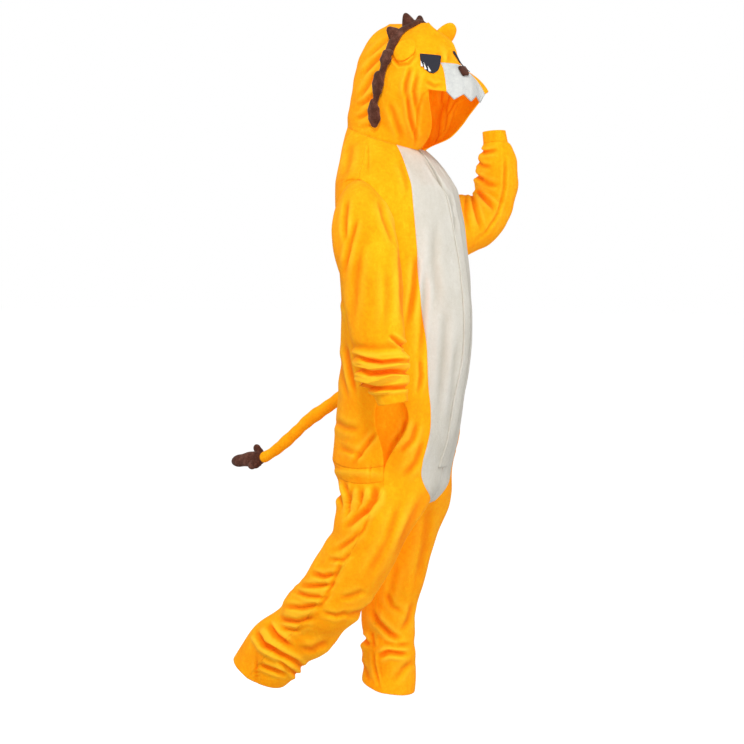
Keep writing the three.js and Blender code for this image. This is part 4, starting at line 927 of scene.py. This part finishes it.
# Mane spikes: broad at the band, up to a blunt tip; tips shorten them, along moves them on the band
poleStep = 0.0004  # The closed end's own point stands this much below its first ring
spikePlan = {"halfWide": 0.027, "halfHigh": 0.013, "flat": 0.7, "steps": 16, "sunk": 0.0015,
             "root": 0.40, "rootPower": 1.3, "tip": 0.60, "tipPower": 5, "narrow": 0.45,
             "tips": {"01": 0.72, "02": 0.92, "03": 0.84, "04": 0.95, "05": 1.0},
             "along": {"01": 0.022, "02": 0.026, "03": 0.012, "04": 0.016, "05": 0.0}}
for number, shorter in spikePlan["tips"].items():
    points = readPoints(nodes["mane_tuft_" + number].data)
    here = bandNear(points.mean(0))
    moved = here + int(round(spikePlan["along"][number] / bandStep))
    points = points + bandLine[moved] - bandLine[here]
    foot, outward = onHood(points.mean(0)[None])
    tip = points[((points - foot) @ outward[0]).argmax()]
    share = np.concatenate([[0.0], np.linspace(0.0, 1.0, spikePlan["steps"] - 1)])
    reach = (tip - foot[0] + spikePlan["sunk"] * outward[0]) * shorter
    line = foot[0] - spikePlan["sunk"] * outward[0] + share[:, None] * reach
    line[0] -= poleStep * outward[0]
    blunt = np.sqrt(np.clip(1.0 - share ** spikePlan["tipPower"], 0.0, 1.0))
    swell = spikePlan["root"] * (1.0 - share) ** spikePlan["rootPower"]
    swell = swell + spikePlan["tip"] * blunt * (1.0 - spikePlan["narrow"] * share)
    swell[0] = 0.0
    piece = stuffed("mane_spike_" + number, line, bandSide(foot[0], spikePlan["steps"]),
                    spikePlan["halfWide"] * swell, spikePlan["halfHigh"] * swell ** spikePlan["flat"], brown)
    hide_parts("mane_tuft_" + number)
print("mane made")

# Far ear: a padded half oval with a broad root on the hood
earPlan = {"halfWide": 0.030, "halfHigh": 0.010, "steps": 18, "sunk": 0.004, "length": 0.92, "farthest": 0.9,
           "power": 2.6, "flat": 0.6}
points = readPoints(nodes["ear_left"].data)
foot, outward = onHood(points.mean(0)[None])
far = np.linalg.norm(points - foot, axis=1)
reach = (points[far > np.quantile(far, earPlan["farthest"])].mean(0) - foot[0]) * earPlan["length"]
start = foot[0] - reach * earPlan["sunk"] / np.linalg.norm(reach)
share = np.concatenate([[0.0], np.linspace(0.0, 1.0, earPlan["steps"] - 1)])
earLine = start + share[:, None] * (foot[0] + reach - start)
earLine[0] -= poleStep * reach / np.linalg.norm(reach)
swell = np.sqrt(np.clip(1.0 - share ** earPlan["power"], 0.0, 1.0))
swell[0] = 0.0
farEar = stuffed("ear_left_pad", earLine, bandSide(foot[0], earPlan["steps"]), earPlan["halfWide"] * swell,
                 earPlan["halfHigh"] * swell ** earPlan["flat"], orange)
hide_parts("ear_left")
print("far ear made")

# Tail: a stuffed tube that hangs out and back, and a tuft of three lobes
tailPlan = {"stops": [(0, .132, -.606), (0, .180, -.634), (0, .262, -.686), (0, .312, -.730),
                      (0, .362, -.770), (0, .408, -.795)],
            "thick": 0.0175, "steps": 60, "blur": 4.0, "power": 40.0, "taper": 0.2,
            "lumps": ((0.05, 0.017, 0.0), (0.04, 0.0061, 0.0))}
tailLine, along = through(tailPlan["stops"], tailPlan["steps"], tailPlan["blur"])
tailThick = tailPlan["thick"] * roundEnds(tailPlan["steps"], tailPlan["power"])
tailThick = tailThick * (1.0 - tailPlan["taper"] * along / along[-1]) * lumpy(along, tailPlan["lumps"])
level = np.array([[1.0, 0.0, 0.0]])
tail = stuffed("tail_tube", tailLine, np.repeat(level, tailPlan["steps"], 0), tailThick, tailThick, orange)
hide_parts("tail")
tuftPlan = {"steps": 24, "narrow": 0.85, "wave": 0.05, "waveSize": 17.0}
# Each lobe of the tuft: its root and tip, how thick, how much thinner at the tip, how blunt
tuftLobes = [
    ((0.0, .394, -.787), (0.004, .500, -.806), 0.0220, 0.30, 4.0),
    ((0.004, .404, -.792), (0.006, .428, -.757), 0.0135, 0.25, 3.0),
    ((-0.004, .404, -.796), (-0.008, .440, -.815), 0.0160, 0.3, 3.0),
]
for number, (start, end, thick, taper, power) in enumerate(tuftLobes):
    share = np.linspace(0.0, 1.0, tuftPlan["steps"])
    line = np.array(start) + share[:, None] * (np.array(end) - np.array(start))
    thick = thick * roundEnds(tuftPlan["steps"], power) * (1.0 - taper * share)
    thick = thick * (1.0 + tuftPlan["wave"] * np.sin(share * tuftPlan["waveSize"]))
    piece = stuffed(f"tail_tuft_lobe_{number}", line, np.repeat(level, tuftPlan["steps"], 0),
                    thick * tuftPlan["narrow"], thick, brown)
    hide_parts("tail_tuft")
print("tail made")

# Plain pale floor a little under the hems
floorPlan = {"height": -1.46, "reach": 60.0, "tone": tone(188, 188, 188), "grain": tone(184, 184, 185),
             "grainScale": 30.0, "roughness": 0.9, "lift": 0.79}
black, white = (0.0, 0.0, 0.0, 1.0), (1.0, 1.0, 1.0, 1.0)
floorFinish = Finish("floorPaper")
floorGrain = floorFinish.noise(floorPlan["grainScale"], 3.0, 0.5)
floorFinish.set(Base_Color=floorFinish.blend(floorGrain, floorPlan["tone"], floorPlan["grain"]),
                Roughness=floorPlan["roughness"])
seenFloor = floorFinish.add("ShaderNodeLightPath", out="Is Camera Ray")
floorFinish.set(Emission_Color=floorFinish.blend(seenFloor, black, white),
                Emission_Strength=floorPlan["lift"])
reach, height = floorPlan["reach"], floorPlan["height"]
corners = [(-reach, -reach, height), (reach, -reach, height), (reach, reach, height), (-reach, reach, height)]
floorMesh = bpy.data.meshes.new("floor")
floorMesh.from_pydata(corners, [], [(0, 1, 2, 3)])
floor = bpy.data.objects.new("floor", floorMesh)
bpy.context.scene.collection.objects.link(floor)
floorMesh.materials.append(floorFinish.material)

# Soft studio light: round lamps, each with its place, what it points at, its width in metres and its power
lamps = {
    "keyLight": ((-3.6, -1.6, 3.2), (0.0, 0.0, -0.5), 1.4, 165.0),
    "fillLight": ((0.8, -4.4, 0.2), (0.0, 0.0, -0.4), 2.2, 42.0),
    "backLight": ((-1.6, 3.6, 1.4), (0.0, 0.0, -0.6), 2.0, 40.0),
    "legLight": ((-2.6, -2.2, -1.0), (0.0, 0.1, -1.2), 1.0, 14.0),
    "hoodLight": ((-0.9, -1.9, -0.2), (0.0, 0.0, 0.1), 0.7, 8.0),
}
for name, (where, aim, size, power) in lamps.items():
    lamp = bpy.data.lights.new(name, "AREA")
    lamp.shape = "DISK"
    lamp.size = size
    lamp.energy = power
    holder = bpy.data.objects.new(name, lamp)
    bpy.context.scene.collection.objects.link(holder)
    holder.location = Vector(where)
    holder.rotation_euler = (Vector(aim) - Vector(where)).to_track_quat("-Z", "Y").to_euler()

# The room's own light, and plain white paper where nothing stands
roomStrength = 0.42
world = bpy.data.worlds.new("studio")
bpy.context.scene.world = world
world.use_nodes = True
sky = world.node_tree
roomLight = sky.nodes["Background"]
roomLight.inputs["Color"].default_value = white
roomLight.inputs["Strength"].default_value = roomStrength
paper = sky.nodes.new("ShaderNodeBackground")
paper.inputs["Color"].default_value = white
seen = sky.nodes.new("ShaderNodeLightPath")
choose = sky.nodes.new("ShaderNodeMixShader")
sky.links.new(seen.outputs["Is Camera Ray"], choose.inputs[0])
sky.links.new(roomLight.outputs[0], choose.inputs[1])
sky.links.new(paper.outputs[0], choose.inputs[2])
sky.links.new(choose.outputs[0], sky.nodes["World Output"].inputs[0])
bpy.context.scene.view_settings.view_transform = "Standard"
print("stage and lights placed")
